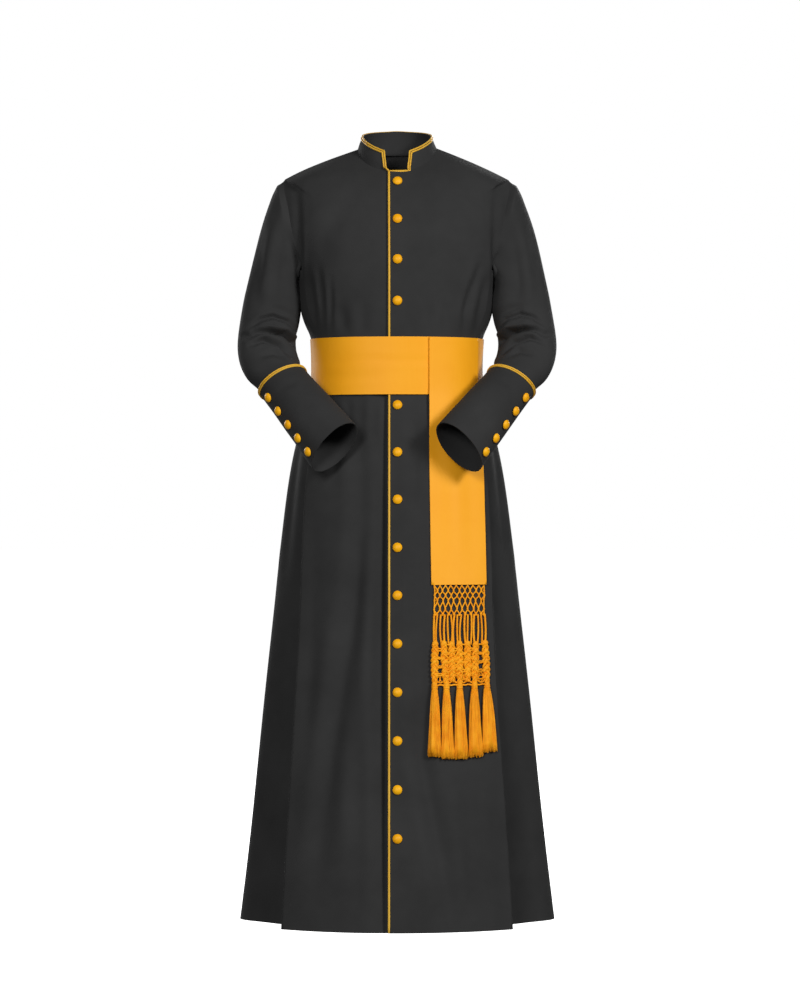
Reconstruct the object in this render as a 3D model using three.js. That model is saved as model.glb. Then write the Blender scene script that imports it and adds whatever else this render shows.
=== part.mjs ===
// A cassock with its cincture, worn, with nobody in it.
// Millimetres, +Z up. The front faces -Y and +X is the wearer's left.
// The origin is on the neck's axis, level with the foot of the collar at the back and sides.
import * as THREE from 'three';

// ---------- driving dimensions ----------
const CLOTH = 1.6;
const COLLAR_CLOTH = 2.2;
const CUFF_CLOTH = 2;
const SASH_CLOTH = 2;
const SEAM_GAP = 0.3;
const HEM = -1458;
const CHEST = -225;
const UNDERARM = -247;
const SHOULDER_POINT = -57;
const NECK_SIDE = 2;
const NECK_FRONT = -48;
const NECK = { halfWidth: 75, front: 78, back: 72 };
const OVERLAP_EDGE = 15;
const UNDERLAP_EDGE = 20;
const UNDERLAP_DROP = 3.6;
const FOLD_SHARE = 0.72;
const BAND = { top: -360, bottom: -468, lift: 3.9 };
const FALL = { left: 58, width: 109, bottom: -822 };
const BUTTON = { radius: 9, height: 6.5, sides: 12, stand: 0.8, cuffStand: 0.6 };
const COLLAR_FRONT_HEIGHT = 38;

const COLOURS = {
  suiting: 0x323234,
  satin: 0xf9ad2c,
  piping: 0xe2b23f,
  button: 0xfbb41b,
  thread: 0xf5a31d,
};

// Rows of numbers under named columns.
const rowsOf = (columns, rows) => rows.map((row) => Object.fromEntries(columns.map((name, k) => [name, row[k]])));

// One row for each height of the body.
// width and square: half width and squareness of the ring; side, back and front: its depths;
// apronWidth: half width of the ring that the front panels follow; fold and corner: degrees round
// from centre front to the edge of the side pleat and to the seam behind it; backSeam: degrees
// round from centre back to the seam between the back and the side panel.
const BODY_SECTIONS = rowsOf(
  ['z', 'width', 'square', 'side', 'back', 'front', 'apronWidth', 'fold', 'corner', 'backSeam'],
  [
    [2, 75, 2, 6, 72, 6, 75, 50, 69, 70],
    [-6, 97, 2, 20, 77, 20, 97, 50, 69, 70],
    [-15, 121, 2.05, 33, 82, 33, 121, 50, 69, 70],
    [-33, 165, 2.1, 58, 91, 58, 165, 50, 69, 70],
    [-48, 198, 2.15, 78, 97, 78, 198, 50, 69, 70],
    [-57, 214, 2.2, 84, 100, 84, 214, 50, 69, 70],
    [-70, 220, 2.22, 92, 103, 92, 220, 50, 69, 70],
    [-100, 221, 2.25, 105, 110, 105, 221, 50, 69, 70],
    [-160, 217, 2.3, 122, 117, 122, 217, 50, 69, 70],
    [-225, 197, 2.3, 129, 118, 129, 197, 50, 69, 70],
    [-247, 184, 2.3, 130, 117, 130, 184, 50, 69, 70],
    [-300, 182, 2.3, 130, 113, 130, 182, 49, 68, 69],
    [-335, 173, 2.25, 129, 110, 129, 173, 48, 66, 68],
    [-362, 159.5, 2.2, 126, 106, 126, 159.5, 47, 65, 67],
    [-466, 159.5, 2.2, 127, 105, 127, 159.5, 50, 61, 62],
    [-500, 174, 2.1, 131, 117, 135, 178, 52, 57, 60],
    [-560, 192, 2.05, 135, 134, 147, 202, 52, 51, 57],
    [-627, 206, 2, 141, 152, 160, 222, 50.4, 49, 55],
    [-889, 238, 2, 153, 195, 196, 262, 44, 43, 50],
    [-1081, 259, 2, 160, 225, 220, 285, 42.6, 40.5, 48],
    [-1272, 277, 2, 166, 250, 243, 305, 42.2, 39.5, 46],
    [-1458, 297, 2, 170, 270, 262, 325, 41.4, 38.5, 45],
  ],
);

// The armhole: degrees round from centre front and from centre back to its edge.
const ARMHOLE = [
  { z: -57, front: 90, back: 90 },
  { z: -64, front: 83, back: 84 },
  { z: -75, front: 77, back: 78 },
  { z: -92, front: 71, back: 72.5 },
  { z: -118, front: 66.5, back: 68 },
  { z: -150, front: 64, back: 66 },
  { z: -190, front: 63.5, back: 66 },
  { z: -225, front: 69, back: 70 },
];

// Flutes of the skirt behind the pleats: degrees round from centre front, degrees wide, and how
// far each stands out (or in, if less than nothing) at the hem.
const FLUTES = [
  { at: 60, width: 13, depth: -11 },
  { at: 79, width: 12, depth: 7 },
  { at: 103, width: 13, depth: -13 },
  { at: 120, width: 12, depth: 9 },
  { at: 139, width: 13, depth: -15 },
  { at: 156, width: 11, depth: 8 },
  { at: 176, width: 12, depth: -12 },
];

// Heights of the panels' rows from the chest down.
const LOWER_ROWS = [
  CHEST, -262, -300, -335, -362, -414, -466, -500, -560, -627,
  -710, -795, -889, -985, -1081, -1175, -1272, -1365, HEM,
];
const YOKE_ROWS = { shoulder: 4, armhole: 7 };

// Sections of the wearer's left sleeve. outer and inner: the ends of the section's long axis;
// depth: half its short axis; leanX and leanZ: how far the front of the section leans.
const SLEEVE_SECTIONS = [
  { outer: [230.5, 0, -65], inner: [186.6, 0, -252], depth: 61, leanX: 0, leanZ: 0 },
  { outer: [240, 0, -92], inner: [187.5, 0, -258], depth: 62, leanX: 0, leanZ: 0 },
  { outer: [259, -2, -144], inner: [188.5, -3, -268], depth: 59, leanX: 0, leanZ: 0 },
  { outer: [275, -6, -210], inner: [189, -8, -287], depth: 55, leanX: 0, leanZ: 0 },
  { outer: [289, -12, -272], inner: [189, -14, -312], depth: 52, leanX: 0, leanZ: 0.02 },
  { outer: [298, -22, -325], inner: [189.5, -22, -340], depth: 50, leanX: 0.05, leanZ: 0.06 },
  { outer: [303, -38, -372], inner: [191.5, -33, -364], depth: 49, leanX: 0.14, leanZ: 0.15 },
  { outer: [297, -60, -412], inner: [188, -50, -386], depth: 47, leanX: 0.25, leanZ: 0.25 },
  { outer: [280, -80, -443], inner: [182, -72, -401], depth: 45, leanX: 0.36, leanZ: 0.34 },
  { outer: [256, -94, -470], inner: [175, -102, -416], depth: 43, leanX: 0.44, leanZ: 0.4 },
  { outer: [207, -141, -538], inner: [125, -157, -470], depth: 43, leanX: 0.47, leanZ: 0.43 },
  { outer: [154, -191, -611], inner: [75, -207, -524], depth: 44, leanX: 0.5, leanZ: 0.455 },
];
const CUFF_TOP = 9;
const CUFF_END = 11;
const SLEEVE_CLEARANCE = 2.2;
const CUFF_PROUD = 4.2;
const SLEEVE_RINGS = [0, 1, 1.8, 2.6, 3.4, 4.1, 4.8, 5.4, 6, 6.5, 7, 7.5, 8, 8.4, 8.75, 9, 9.12];
const CUFF_RINGS = 5;
const SLEEVE_SIDES = 16;
const CUFF_BUTTONS = { count: 5, first: 0.195, last: 0.925, round: 45 };

// The buttons down the front. The height of the first in each run, and the cloth from one to the next.
const CHEST_BUTTONS = { first: -67, spacing: 77.2, count: 4 };
const SKIRT_BUTTONS = { first: -488, spacing: 89.6, count: 10 };

// The standing collar, one row for each direction round from centre front.
const COLLAR_TOP = [
  { at: 0, halfWidth: 65, depth: 70, z: -11 },
  { at: 20, halfWidth: 65, depth: 70, z: -8 },
  { at: 50, halfWidth: 65, depth: 70, z: 6 },
  { at: 90, halfWidth: 65, depth: 68, z: 26 },
  { at: 135, halfWidth: 65, depth: 66, z: 37 },
  { at: 180, halfWidth: 65, depth: 66, z: 42 },
];
const COLLAR_OPENING = { bottom: 18.5, top: 23 };
const COLLAR_COLUMNS = 22;
const COLLAR_ROWS = 3;

// The fringe, from the end of the cincture down.
const FRINGE = [
  { name: 'fringe_net', top: -822.6, bottom: -877, left: 62, right: 163, thick: 3 },
  { name: 'fringe_cords', top: -877.5, bottom: -929.5, left: 66, right: 162, thick: 3.5 },
  { name: 'fringe_knots', top: -930, bottom: -1008, left: 63, right: 170, thick: 6 },
];
const TASSELS = [
  { x: 70, spread: 70, radius: 12, bottom: -1136 },
  { x: 92, spread: 94.5, radius: 11.5, bottom: -1139 },
  { x: 116, spread: 119, radius: 12.5, bottom: -1140 },
  { x: 143, spread: 145.5, radius: 13, bottom: -1138 },
  { x: 167, spread: 173, radius: 13.5, bottom: -1130 },
];
const TASSEL_TOP = -1008.6;

// ---------- numbers ----------
const radians = (degrees) => degrees * Math.PI / 180;
const degrees = (angle) => angle * 180 / Math.PI;
const mix = (a, b, t) => a + (b - a) * t;
const clamp01 = (t) => Math.min(1, Math.max(0, t));
const mixPoints = (a, b, t) => a.clone().lerp(b, t);
const smooth = (from, to, value) => {
  const t = clamp01((value - from) / (to - from));
  return t * t * (3 - 2 * t);
};

// Reads a column of a table at any place between its rows, along a smooth curve.
function readTable(rows, key, column, place) {
  const rising = rows[rows.length - 1][key] > rows[0][key];
  const before = (row) => (rising ? row[key] <= place : row[key] >= place);
  let i = 0;
  while (i < rows.length - 2 && before(rows[i + 1])) i += 1;
  const at = (k) => rows[Math.min(rows.length - 1, Math.max(0, k))];
  const span = at(i + 1)[key] - at(i)[key];
  const t = clamp01((place - at(i)[key]) / span);
  const slope = (k) => {
    const run = at(k + 1)[key] - at(k - 1)[key];
    return run === 0 ? 0 : (at(k + 1)[column] - at(k - 1)[column]) / run * span;
  };
  const t2 = t * t;
  const t3 = t2 * t;
  return (2 * t3 - 3 * t2 + 1) * at(i)[column] + (t3 - 2 * t2 + t) * slope(i)
    + (3 * t2 - 2 * t3) * at(i + 1)[column] + (t3 - t2) * slope(i + 1);
}
const body = (column, z) => readTable(BODY_SECTIONS, 'z', column, z);

// ---------- the body's surface ----------
function onRing(halfWidth, depth, square, angle, z) {
  const sine = Math.sin(radians(angle));
  const cosine = Math.cos(radians(angle));
  const x = Math.sign(sine) * halfWidth * Math.abs(sine) ** (2 / square);
  const y = -Math.sign(cosine) * depth * Math.abs(cosine) ** (2 / square);
  return new THREE.Vector3(x, y, z);
}

function fluteDepth(angle, z) {
  const grown = smooth(-480, HEM, z);
  let depth = 0;
  for (const flute of FLUTES) {
    const away = Math.abs(Math.abs(angle) - flute.at) / flute.width;
    if (away < 1) depth += flute.depth * (1 + Math.cos(Math.PI * away)) / 2;
  }
  return depth * grown;
}

// The side and back of the body; angle is round from centre front.
function sidePoint(angle, z) {
  const depth = Math.abs(angle) < 90 ? body('side', z) : body('back', z);
  const point = onRing(body('width', z), depth, body('square', z), angle, z);
  const outward = new THREE.Vector3(point.x, point.y, 0).normalize();
  return point.addScaledVector(outward, fluteDepth(angle, z));
}

// The front panels' ring.
function frontPoint(angle, z) {
  return onRing(body('apronWidth', z), body('front', z), body('square', z), angle, z);
}

// The angle round the front ring at which it is x to the side.
function frontAngle(x, z) {
  const share = Math.min(1, Math.abs(x) / body('apronWidth', z));
  return Math.sign(x) * degrees(Math.asin(share ** (body('square', z) / 2)));
}

function frontSurface(x, z) {
  return frontPoint(frontAngle(x, z), z);
}

// The neckline: where the neck's oval meets the body, at a direction round from the centre.
function necklinePlace(direction, isBack) {
  const neckDepth = isBack ? NECK.back : NECK.front;
  const s = Math.abs(Math.sin(radians(direction)));
  const c = Math.abs(Math.cos(radians(direction)));
  const neckRadius = 1 / Math.hypot(s / NECK.halfWidth, c / neckDepth);
  const column = isBack ? 'back' : 'front';
  const ringRadius = (z) => {
    const n = body('square', z);
    return 1 / ((s / body('width', z)) ** n + (c / body(column, z)) ** n) ** (1 / n);
  };
  let low = NECK_FRONT - 4;
  let high = NECK_SIDE;
  for (let step = 0; step < 40; step += 1) {
    const middle = (low + high) / 2;
    if (ringRadius(middle) > neckRadius) low = middle;
    else high = middle;
  }
  const z = isBack ? NECK_SIDE : low;
  const n = body('square', z);
  const across = (neckRadius * s / body('width', z)) ** (n / 2);
  const ahead = (neckRadius * c / body(column, z)) ** (n / 2);
  return { angle: Math.sign(direction) * degrees(Math.atan2(across, ahead)), z };
}

function armholeAngle(z, isBack) {
  return readTable(ARMHOLE, 'z', isBack ? 'back' : 'front', z);
}

// ---------- closed walls from grids of points ----------
// A triangle list from outer points to inner points. Each cell is split along its longer diagonal.
function meshFromGrid(outer, inner, wraps) {
  const rows = outer.length;
  const columns = outer[0].length;
  const points = [...outer.flat(), ...inner.flat()];
  const innerStart = rows * columns;
  const index = (row, column) => row * columns + (column % columns);
  const triangles = [];
  const isLonger = (a, b, c, d) => points[a].distanceTo(points[c]) >= points[b].distanceTo(points[d]);
  const quad = (a, b, c, d, splitFromFirst = isLonger(a, b, c, d)) => {
    if (splitFromFirst) triangles.push(a, b, c, a, c, d);
    else triangles.push(a, b, d, b, c, d);
  };
  const lastColumn = wraps ? columns : columns - 1;
  for (let row = 0; row < rows - 1; row += 1) {
    for (let column = 0; column < lastColumn; column += 1) {
      const a = index(row, column);
      const b = index(row + 1, column);
      const c = index(row + 1, column + 1);
      const d = index(row, column + 1);
      const longer = isLonger(a, b, c, d);
      quad(a, b, c, d, longer);
      quad(a + innerStart, d + innerStart, c + innerStart, b + innerStart, longer);
    }
  }
  for (let column = 0; column < lastColumn; column += 1) {
    for (const row of [0, rows - 1]) {
      const a = index(row, column);
      const b = index(row, column + 1);
      if (row === 0) quad(a, b, b + innerStart, a + innerStart);
      else quad(b, a, a + innerStart, b + innerStart);
    }
  }
  if (!wraps) {
    for (let row = 0; row < rows - 1; row += 1) {
      const left = index(row, 0);
      const leftNext = index(row + 1, 0);
      const right = index(row, columns - 1);
      const rightNext = index(row + 1, columns - 1);
      quad(leftNext, left, left + innerStart, leftNext + innerStart);
      quad(right, rightNext, rightNext + innerStart, right + innerStart);
    }
  }
  return geometryFrom(points, triangles);
}

function geometryFrom(points, triangles) {
  const geometry = new THREE.BufferGeometry();
  geometry.setAttribute('position', new THREE.Float32BufferAttribute(points.flatMap((p) => p.toArray()), 3));
  geometry.setIndex(triangles);
  geometry.computeVertexNormals();
  return geometry;
}

// Front and back share one upright edge along the shoulder seam.
const onShoulderSeam = (point) => Math.abs(point.y) < SEAM_GAP && point.z > SHOULDER_POINT - 1;

// Outward directions of a grid whose rows run down and whose columns run anticlockwise from above.
function gridNormals(grid, wraps) {
  const rows = grid.length;
  const columns = grid[0].length;
  return grid.map((line, row) => line.map((point, column) => {
    const up = grid[Math.max(0, row - 1)][column];
    const down = grid[Math.min(rows - 1, row + 1)][column];
    const left = wraps ? line[(column + columns - 1) % columns] : line[Math.max(0, column - 1)];
    const right = wraps ? line[(column + 1) % columns] : line[Math.min(columns - 1, column + 1)];
    const across = right.clone().sub(left);
    const along = down.clone().sub(up);
    const normal = along.cross(across).normalize();
    return onShoulderSeam(point) ? normal.setY(0).normalize() : normal;
  }));
}

const offsetGrid = (grid, normals, distance) => grid.map((line, row) => line.map(
  (point, column) => point.clone().addScaledVector(normals[row][column], distance),
));

// A cloth wall under a grid of outside points, after the grid is moved out by lift.
function wall(grid, thickness, { wraps = false, lift = 0 } = {}) {
  const normals = gridNormals(grid, wraps);
  const outer = offsetGrid(grid, normals, lift);
  const inner = offsetGrid(grid, normals, lift - thickness);
  return meshFromGrid(outer, inner, wraps);
}

const mirrored = (grid) => grid.map((line) => line.map((p) => new THREE.Vector3(-p.x, p.y, p.z)).reverse());

// Draws each side edge of a panel back from its seam, and further back inside the side pleat,
// where the panels meet at a sharp angle.
const flatSeam = () => SEAM_GAP / 2;
const pleatSeam = (z) => mix(SEAM_GAP / 2, 4 * SEAM_GAP, smooth(-470, -520, z));

function clearSeams(grid, { left = flatSeam, right = flatSeam } = {}) {
  const drawIn = (edge, next, gap) => mixPoints(edge, next, gap / edge.distanceTo(next));
  return grid.map((line) => {
    const last = line.length - 1;
    const result = line.slice();
    result[0] = drawIn(line[0], line[1], left(line[0].z));
    result[last] = drawIn(line[last], line[last - 1], right(line[last].z));
    return result;
  });
}

// A closed solid through rings of points, with a fan at each end.
function loft(rings) {
  const sides = rings[0].length;
  const centre = (ring) => ring.reduce((sum, p) => sum.add(p), new THREE.Vector3()).divideScalar(sides);
  const points = [...rings.flat(), centre(rings[0]), centre(rings[rings.length - 1])];
  const firstCentre = rings.length * sides;
  const triangles = [];
  for (let i = 0; i < sides; i += 1) {
    const next = (i + 1) % sides;
    for (let k = 0; k < rings.length - 1; k += 1) {
      const a = k * sides;
      const b = a + sides;
      triangles.push(a + i, a + next, b + next, a + i, b + next, b + i);
    }
    triangles.push(firstCentre, next, i);
    const last = (rings.length - 1) * sides;
    triangles.push(firstCentre + 1, last + i, last + next);
  }
  return geometryFrom(points, triangles);
}

// ---------- nodes ----------
const garment = new THREE.Group();
const finishes = {};
for (const [name, colour] of Object.entries(COLOURS)) {
  finishes[name] = new THREE.MeshStandardMaterial({ color: colour, roughness: name === 'satin' ? 0.45 : 0.85 });
}

function addNode(name, geometry, finish) {
  const mesh = new THREE.Mesh(geometry, finishes[finish].clone());
  mesh.name = name;
  garment.add(mesh);
}

// ---------- fronts ----------
// The yoke is a patch between the neckline, the shoulder and armhole, the chest and the closing edge.
// Its places are angles round the body and heights.
function yokeEdgePlace(share, isBack) {
  const total = YOKE_ROWS.shoulder + YOKE_ROWS.armhole;
  const turn = YOKE_ROWS.shoulder / total;
  if (share <= turn) return { angle: 90, z: mix(NECK_SIDE, SHOULDER_POINT, share / turn) };
  const z = mix(SHOULDER_POINT, CHEST, (share - turn) / (1 - turn));
  return { angle: armholeAngle(z, isBack), z };
}

function yokePlace(column, row, places) {
  const { top, bottom, closing, edge } = places;
  const blend = (key) => {
    const sides = mix(closing(row)[key], edge(row)[key], column);
    const ends = mix(top(column)[key], bottom(column)[key], row);
    const topCorners = mix(closing(0)[key], edge(0)[key], column);
    const bottomCorners = mix(closing(1)[key], edge(1)[key], column);
    return sides + ends - mix(topCorners, bottomCorners, row);
  };
  return { angle: blend('angle'), z: blend('z') };
}

// How far the hidden edge of the right front sits under the left front.
const underlapDrop = (x) => UNDERLAP_DROP * (1 - smooth(18, 46, x));

function frontPanel(edge, underlaps) {
  const columns = [0, 0.07, 0.17, 0.28, 0.39, 0.5, 0.61, FOLD_SHARE, 0.81, 0.9, 1];
  const rows = YOKE_ROWS.shoulder + YOKE_ROWS.armhole;
  const closingTop = -degrees(Math.asin(edge / NECK.halfWidth));
  const startAngle = (z) => frontAngle(-edge, z);
  const spread = (share, z) => {
    if (share <= FOLD_SHARE) return mix(startAngle(z), body('fold', z), share / FOLD_SHARE);
    return mix(body('fold', z), body('corner', z), (share - FOLD_SHARE) / (1 - FOLD_SHARE));
  };
  const neckPlace = (share) => necklinePlace(mix(closingTop, 90, share) || 1e-6, false);
  const top = neckPlace;
  const closing = (row) => {
    const z = mix(neckPlace(0).z, CHEST, row);
    return { angle: startAngle(z), z };
  };
  const bottom = (share) => ({ angle: spread(share, CHEST), z: CHEST });
  const edgePlace = (row) => yokeEdgePlace(row, false);
  const grid = [];
  for (let row = 0; row < rows; row += 1) {
    grid.push(columns.map((share) => {
      const place = yokePlace(share, row / rows, { top, bottom, closing, edge: edgePlace });
      return frontPoint(place.angle, place.z);
    }));
  }
  for (const z of LOWER_ROWS) {
    const opened = smooth(-470, -600, z);
    const foldEdge = frontPoint(body('fold', z), z);
    const corner = sidePoint(body('corner', z), z);
    grid.push(columns.map((share) => {
      const round = frontPoint(spread(share, z), z);
      if (share <= FOLD_SHARE) return round;
      const folded = mixPoints(foldEdge, corner, (share - FOLD_SHARE) / (1 - FOLD_SHARE));
      return mixPoints(round, folded, opened);
    }));
  }
  const placed = grid.map((line) => line.map((point) => {
    if (!underlaps) return point;
    return point.clone().add(new THREE.Vector3(0, underlapDrop(point.x), 0));
  }));
  return clearSeams(placed, { left: () => 0, right: pleatSeam });
}

const leftFront = frontPanel(OVERLAP_EDGE, false);
const rightFront = mirrored(frontPanel(UNDERLAP_EDGE, true));
addNode('front_left', wall(leftFront, CLOTH), 'suiting');
addNode('front_right', wall(rightFront, CLOTH), 'suiting');

// ---------- back ----------
function backPanel() {
  const halfColumns = 8;
  const rows = YOKE_ROWS.shoulder + YOKE_ROWS.armhole;
  const top = (share) => necklinePlace(90 * share + 1e-6, true);
  const closing = (row) => ({ angle: 0, z: mix(NECK_SIDE, CHEST, row) });
  const bottom = (share) => ({ angle: body('backSeam', CHEST) * share, z: CHEST });
  const edge = (row) => yokeEdgePlace(row, true);
  const fromBack = (angle, z) => sidePoint(180 - angle, z);
  const half = [];
  for (let row = 0; row < rows; row += 1) {
    const line = [];
    for (let k = 0; k <= halfColumns; k += 1) {
      const place = yokePlace(k / halfColumns, row / rows, { top, bottom, closing, edge });
      line.push(fromBack(place.angle, place.z));
    }
    half.push(line);
  }
  for (const z of LOWER_ROWS) {
    const line = [];
    for (let k = 0; k <= halfColumns; k += 1) {
      line.push(fromBack(body('backSeam', z) * k / halfColumns, z));
    }
    half.push(line);
  }
  const grid = half.map((line) => {
    const left = line.slice().reverse();
    const right = line.slice(1).map((p) => new THREE.Vector3(-p.x, p.y, p.z));
    return [...left, ...right];
  });
  return clearSeams(grid);
}
const back = backPanel();
addNode('back', wall(back, CLOTH), 'suiting');

// ---------- side panels ----------
function sidePanel() {
  const columns = 9;
  const grid = [];
  for (const [row, level] of LOWER_ROWS.entries()) {
    const line = [];
    for (let k = 0; k <= columns; k += 1) {
      const share = k / columns;
      const scoop = row === 0 ? (UNDERARM - CHEST) * Math.sin(Math.PI * share) ** 0.7 : 0;
      const z = level + scoop;
      line.push(sidePoint(mix(body('corner', level), 180 - body('backSeam', level), share), z));
    }
    grid.push(line);
  }
  return clearSeams(grid, { left: (z) => pleatSeam(z) + 1.5 * SEAM_GAP, right: () => 2.5 * SEAM_GAP });
}
const leftSide = sidePanel();
addNode('side_left', wall(leftSide, CLOTH), 'suiting');
addNode('side_right', wall(mirrored(leftSide), CLOTH), 'suiting');

// ---------- sleeves and cuffs ----------
const vector = (triple) => new THREE.Vector3(...triple);
const sleeveRows = SLEEVE_SECTIONS.map((section, at) => {
  const outer = vector(section.outer);
  const inner = vector(section.inner);
  const centre = mixPoints(outer, inner, 0.5);
  const half = outer.clone().sub(inner).multiplyScalar(0.5);
  const row = { at, depth: section.depth, leanX: section.leanX, leanZ: section.leanZ };
  for (const axis of ['x', 'y', 'z']) {
    row[`centre_${axis}`] = centre[axis];
    row[`half_${axis}`] = half[axis];
  }
  return row;
});

// A point of the sleeve; place counts along its sections and round starts at the outside of the
// arm and passes the front. shrink draws the section in.
function sleevePoint(place, round, shrink = 0) {
  const read = (column) => readTable(sleeveRows, 'at', column, place);
  const centre = new THREE.Vector3(read('centre_x'), read('centre_y'), read('centre_z'));
  const half = new THREE.Vector3(read('half_x'), read('half_y'), read('half_z'));
  const toFront = new THREE.Vector3(read('leanX'), -1, read('leanZ')).normalize();
  const c = Math.cos(radians(round));
  const s = Math.sin(radians(round));
  const halfLength = half.length();
  centre.addScaledVector(half, c * (halfLength - shrink) / halfLength);
  return centre.addScaledVector(toFront, s * (read('depth') - shrink));
}

function armholePoint(round) {
  const z = mix(SHOULDER_POINT, UNDERARM, (1 - Math.cos(radians(round))) / 2);
  const isBack = Math.sin(radians(round)) < 0;
  const scoopFrom = isBack ? 70 : 69;
  const past = clamp01((CHEST - z) / (CHEST - UNDERARM));
  const angle = z >= CHEST ? armholeAngle(z, isBack) : mix(scoopFrom, 90, past ** 0.7);
  const point = sidePoint(isBack ? 180 - angle : angle, z);
  return point.add(new THREE.Vector3(SLEEVE_CLEARANCE, 0, 0));
}

const ROUNDS = Array.from({ length: SLEEVE_SIDES }, (_, k) => -360 * k / SLEEVE_SIDES);

function sleeveGrid() {
  const grid = [ROUNDS.map((round) => armholePoint((round % 360 + 360) % 360))];
  for (const place of SLEEVE_RINGS) {
    const shrink = CUFF_PROUD * smooth(CUFF_TOP - 1.1, CUFF_TOP - 0.2, place);
    grid.push(ROUNDS.map((round) => sleevePoint(place, round, shrink)));
  }
  return grid;
}

function cuffGrid() {
  const grid = [];
  for (let ring = 0; ring <= CUFF_RINGS; ring += 1) {
    const place = mix(CUFF_TOP, CUFF_END, ring / CUFF_RINGS);
    grid.push(ROUNDS.map((round) => sleevePoint(place, round)));
  }
  return grid;
}

const sleeve = sleeveGrid();
const cuff = cuffGrid();
addNode('sleeve_left', wall(sleeve, CLOTH, { wraps: true }), 'suiting');
addNode('sleeve_right', wall(mirrored(sleeve), CLOTH, { wraps: true }), 'suiting');
addNode('cuff_left', wall(cuff, CUFF_CLOTH, { wraps: true }), 'suiting');
addNode('cuff_right', wall(mirrored(cuff), CUFF_CLOTH, { wraps: true }), 'suiting');

// ---------- collar ----------
function collarPoint(direction, rise) {
  const isBack = Math.abs(direction) > 90;
  const fromCentre = isBack ? 180 - Math.abs(direction) : Math.abs(direction);
  const footZ = isBack ? NECK_SIDE : necklinePlace(fromCentre + 1e-6, false).z;
  const depth = isBack ? NECK.back : NECK.front;
  const foot = onRing(NECK.halfWidth, depth, 2, direction, footZ + 2 * SEAM_GAP);
  const topAt = (column) => readTable(COLLAR_TOP, 'at', column, Math.abs(direction));
  const top = onRing(topAt('halfWidth'), topAt('depth'), 2, direction, topAt('z'));
  const point = mixPoints(foot, top, rise);
  const bulge = 1.6 * Math.sin(Math.PI * rise);
  return point.addScaledVector(new THREE.Vector3(point.x, point.y, 0).normalize(), bulge);
}

const openingAngle = (rise) => {
  const half = mix(COLLAR_OPENING.bottom, COLLAR_OPENING.top, rise);
  return degrees(Math.asin(half / mix(NECK.halfWidth, COLLAR_TOP[0].halfWidth, rise)));
};

function collarGrid() {
  const grid = [];
  for (let row = 0; row <= COLLAR_ROWS; row += 1) {
    const rise = 1 - row / COLLAR_ROWS;
    const start = openingAngle(rise);
    const line = [];
    for (let k = 0; k <= COLLAR_COLUMNS; k += 1) {
      const direction = mix(start, 360 - start, k / COLLAR_COLUMNS);
      line.push(collarPoint(direction > 180 ? direction - 360 : direction, rise));
    }
    grid.push(line);
  }
  return grid;
}
addNode('collar', wall(collarGrid(), COLLAR_CLOTH), 'suiting');

// ---------- piping ----------
// A strip with its own width, laid along points of a panel and lifted off them.
function strip(path, width, thickness, closed, gap = SEAM_GAP) {
  const count = path.length;
  const rings = path.map(({ point, normal }, i) => {
    const before = path[closed ? (i + count - 1) % count : Math.max(0, i - 1)].point;
    const after = path[closed ? (i + 1) % count : Math.min(count - 1, i + 1)].point;
    const along = after.clone().sub(before).normalize();
    const across = normal.clone().cross(along).normalize();
    const out = along.clone().cross(across).normalize();
    const corner = (side, up) => point.clone().addScaledVector(across, side * width / 2)
      .addScaledVector(out, gap + up * thickness);
    return [corner(-0.8, 0), corner(0.8, 0), corner(1, 0.5), corner(0.6, 1), corner(-0.6, 1), corner(-1, 0.5)];
  });
  if (!closed) return loft(rings);
  const points = rings.flat();
  const sides = rings[0].length;
  const triangles = [];
  for (let k = 0; k < count; k += 1) {
    for (let i = 0; i < sides; i += 1) {
      const a = k * sides + i;
      const b = k * sides + (i + 1) % sides;
      const c = ((k + 1) % count) * sides + (i + 1) % sides;
      const d = ((k + 1) % count) * sides + i;
      triangles.push(a, b, c, a, c, d);
    }
  }
  return geometryFrom(points, triangles);
}

const PIPING = { width: 6, inset: 3.2, thickness: 2.4, edgeWidth: 4.5 };
// Degrees of the collar's top that the piping's turn at each corner takes up.
const COLLAR_CORNER_TURN = 4;

// The outward direction at a point, from a point further down the cloth and one further round it.
const outwardAt = (at, below, beyond) => below.clone().sub(at).cross(beyond.clone().sub(at)).normalize();

function collarPiping() {
  const path = [];
  const lay = (direction, rise) => {
    const at = collarPoint(direction, rise);
    const below = collarPoint(direction, rise - 0.05);
    path.push({ point: at, normal: outwardAt(at, below, collarPoint(direction + 1, rise)) });
  };
  const inset = degrees(PIPING.inset / NECK.front);
  const topRise = 1 - PIPING.inset / COLLAR_FRONT_HEIGHT;
  const steps = 34;
  const start = openingAngle(1) + inset + COLLAR_CORNER_TURN;
  for (let k = 0; k <= steps; k += 1) {
    const round = mix(start, 360 - start, k / steps);
    const direction = round > 180 ? round - 360 : round;
    const height = collarPoint(direction, 1).distanceTo(collarPoint(direction, 0));
    lay(direction, 1 - PIPING.inset / height);
  }
  for (const rise of [topRise - 0.06, topRise - 0.3, topRise - 0.55, 0.2]) {
    lay(-(openingAngle(rise) + inset), rise);
  }
  const footX = COLLAR_OPENING.bottom + PIPING.inset;
  for (const share of [-0.86, -0.6, -0.2, 0.2, 0.6, 0.86]) {
    const x = footX * share;
    const z = necklinePlace(degrees(Math.asin(Math.abs(x) / NECK.halfWidth)) + 1e-6, false).z - PIPING.inset * 0.3;
    path.push({ point: frontSurface(x, z), normal: new THREE.Vector3(0, -0.85, 0.53) });
  }
  for (const rise of [0.2, topRise - 0.55, topRise - 0.3, topRise - 0.06]) {
    lay(openingAngle(rise) + inset, rise);
  }
  return strip(path, PIPING.width, PIPING.thickness, true, SEAM_GAP + 0.4);
}
addNode('piping_collar', collarPiping(), 'piping');

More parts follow.
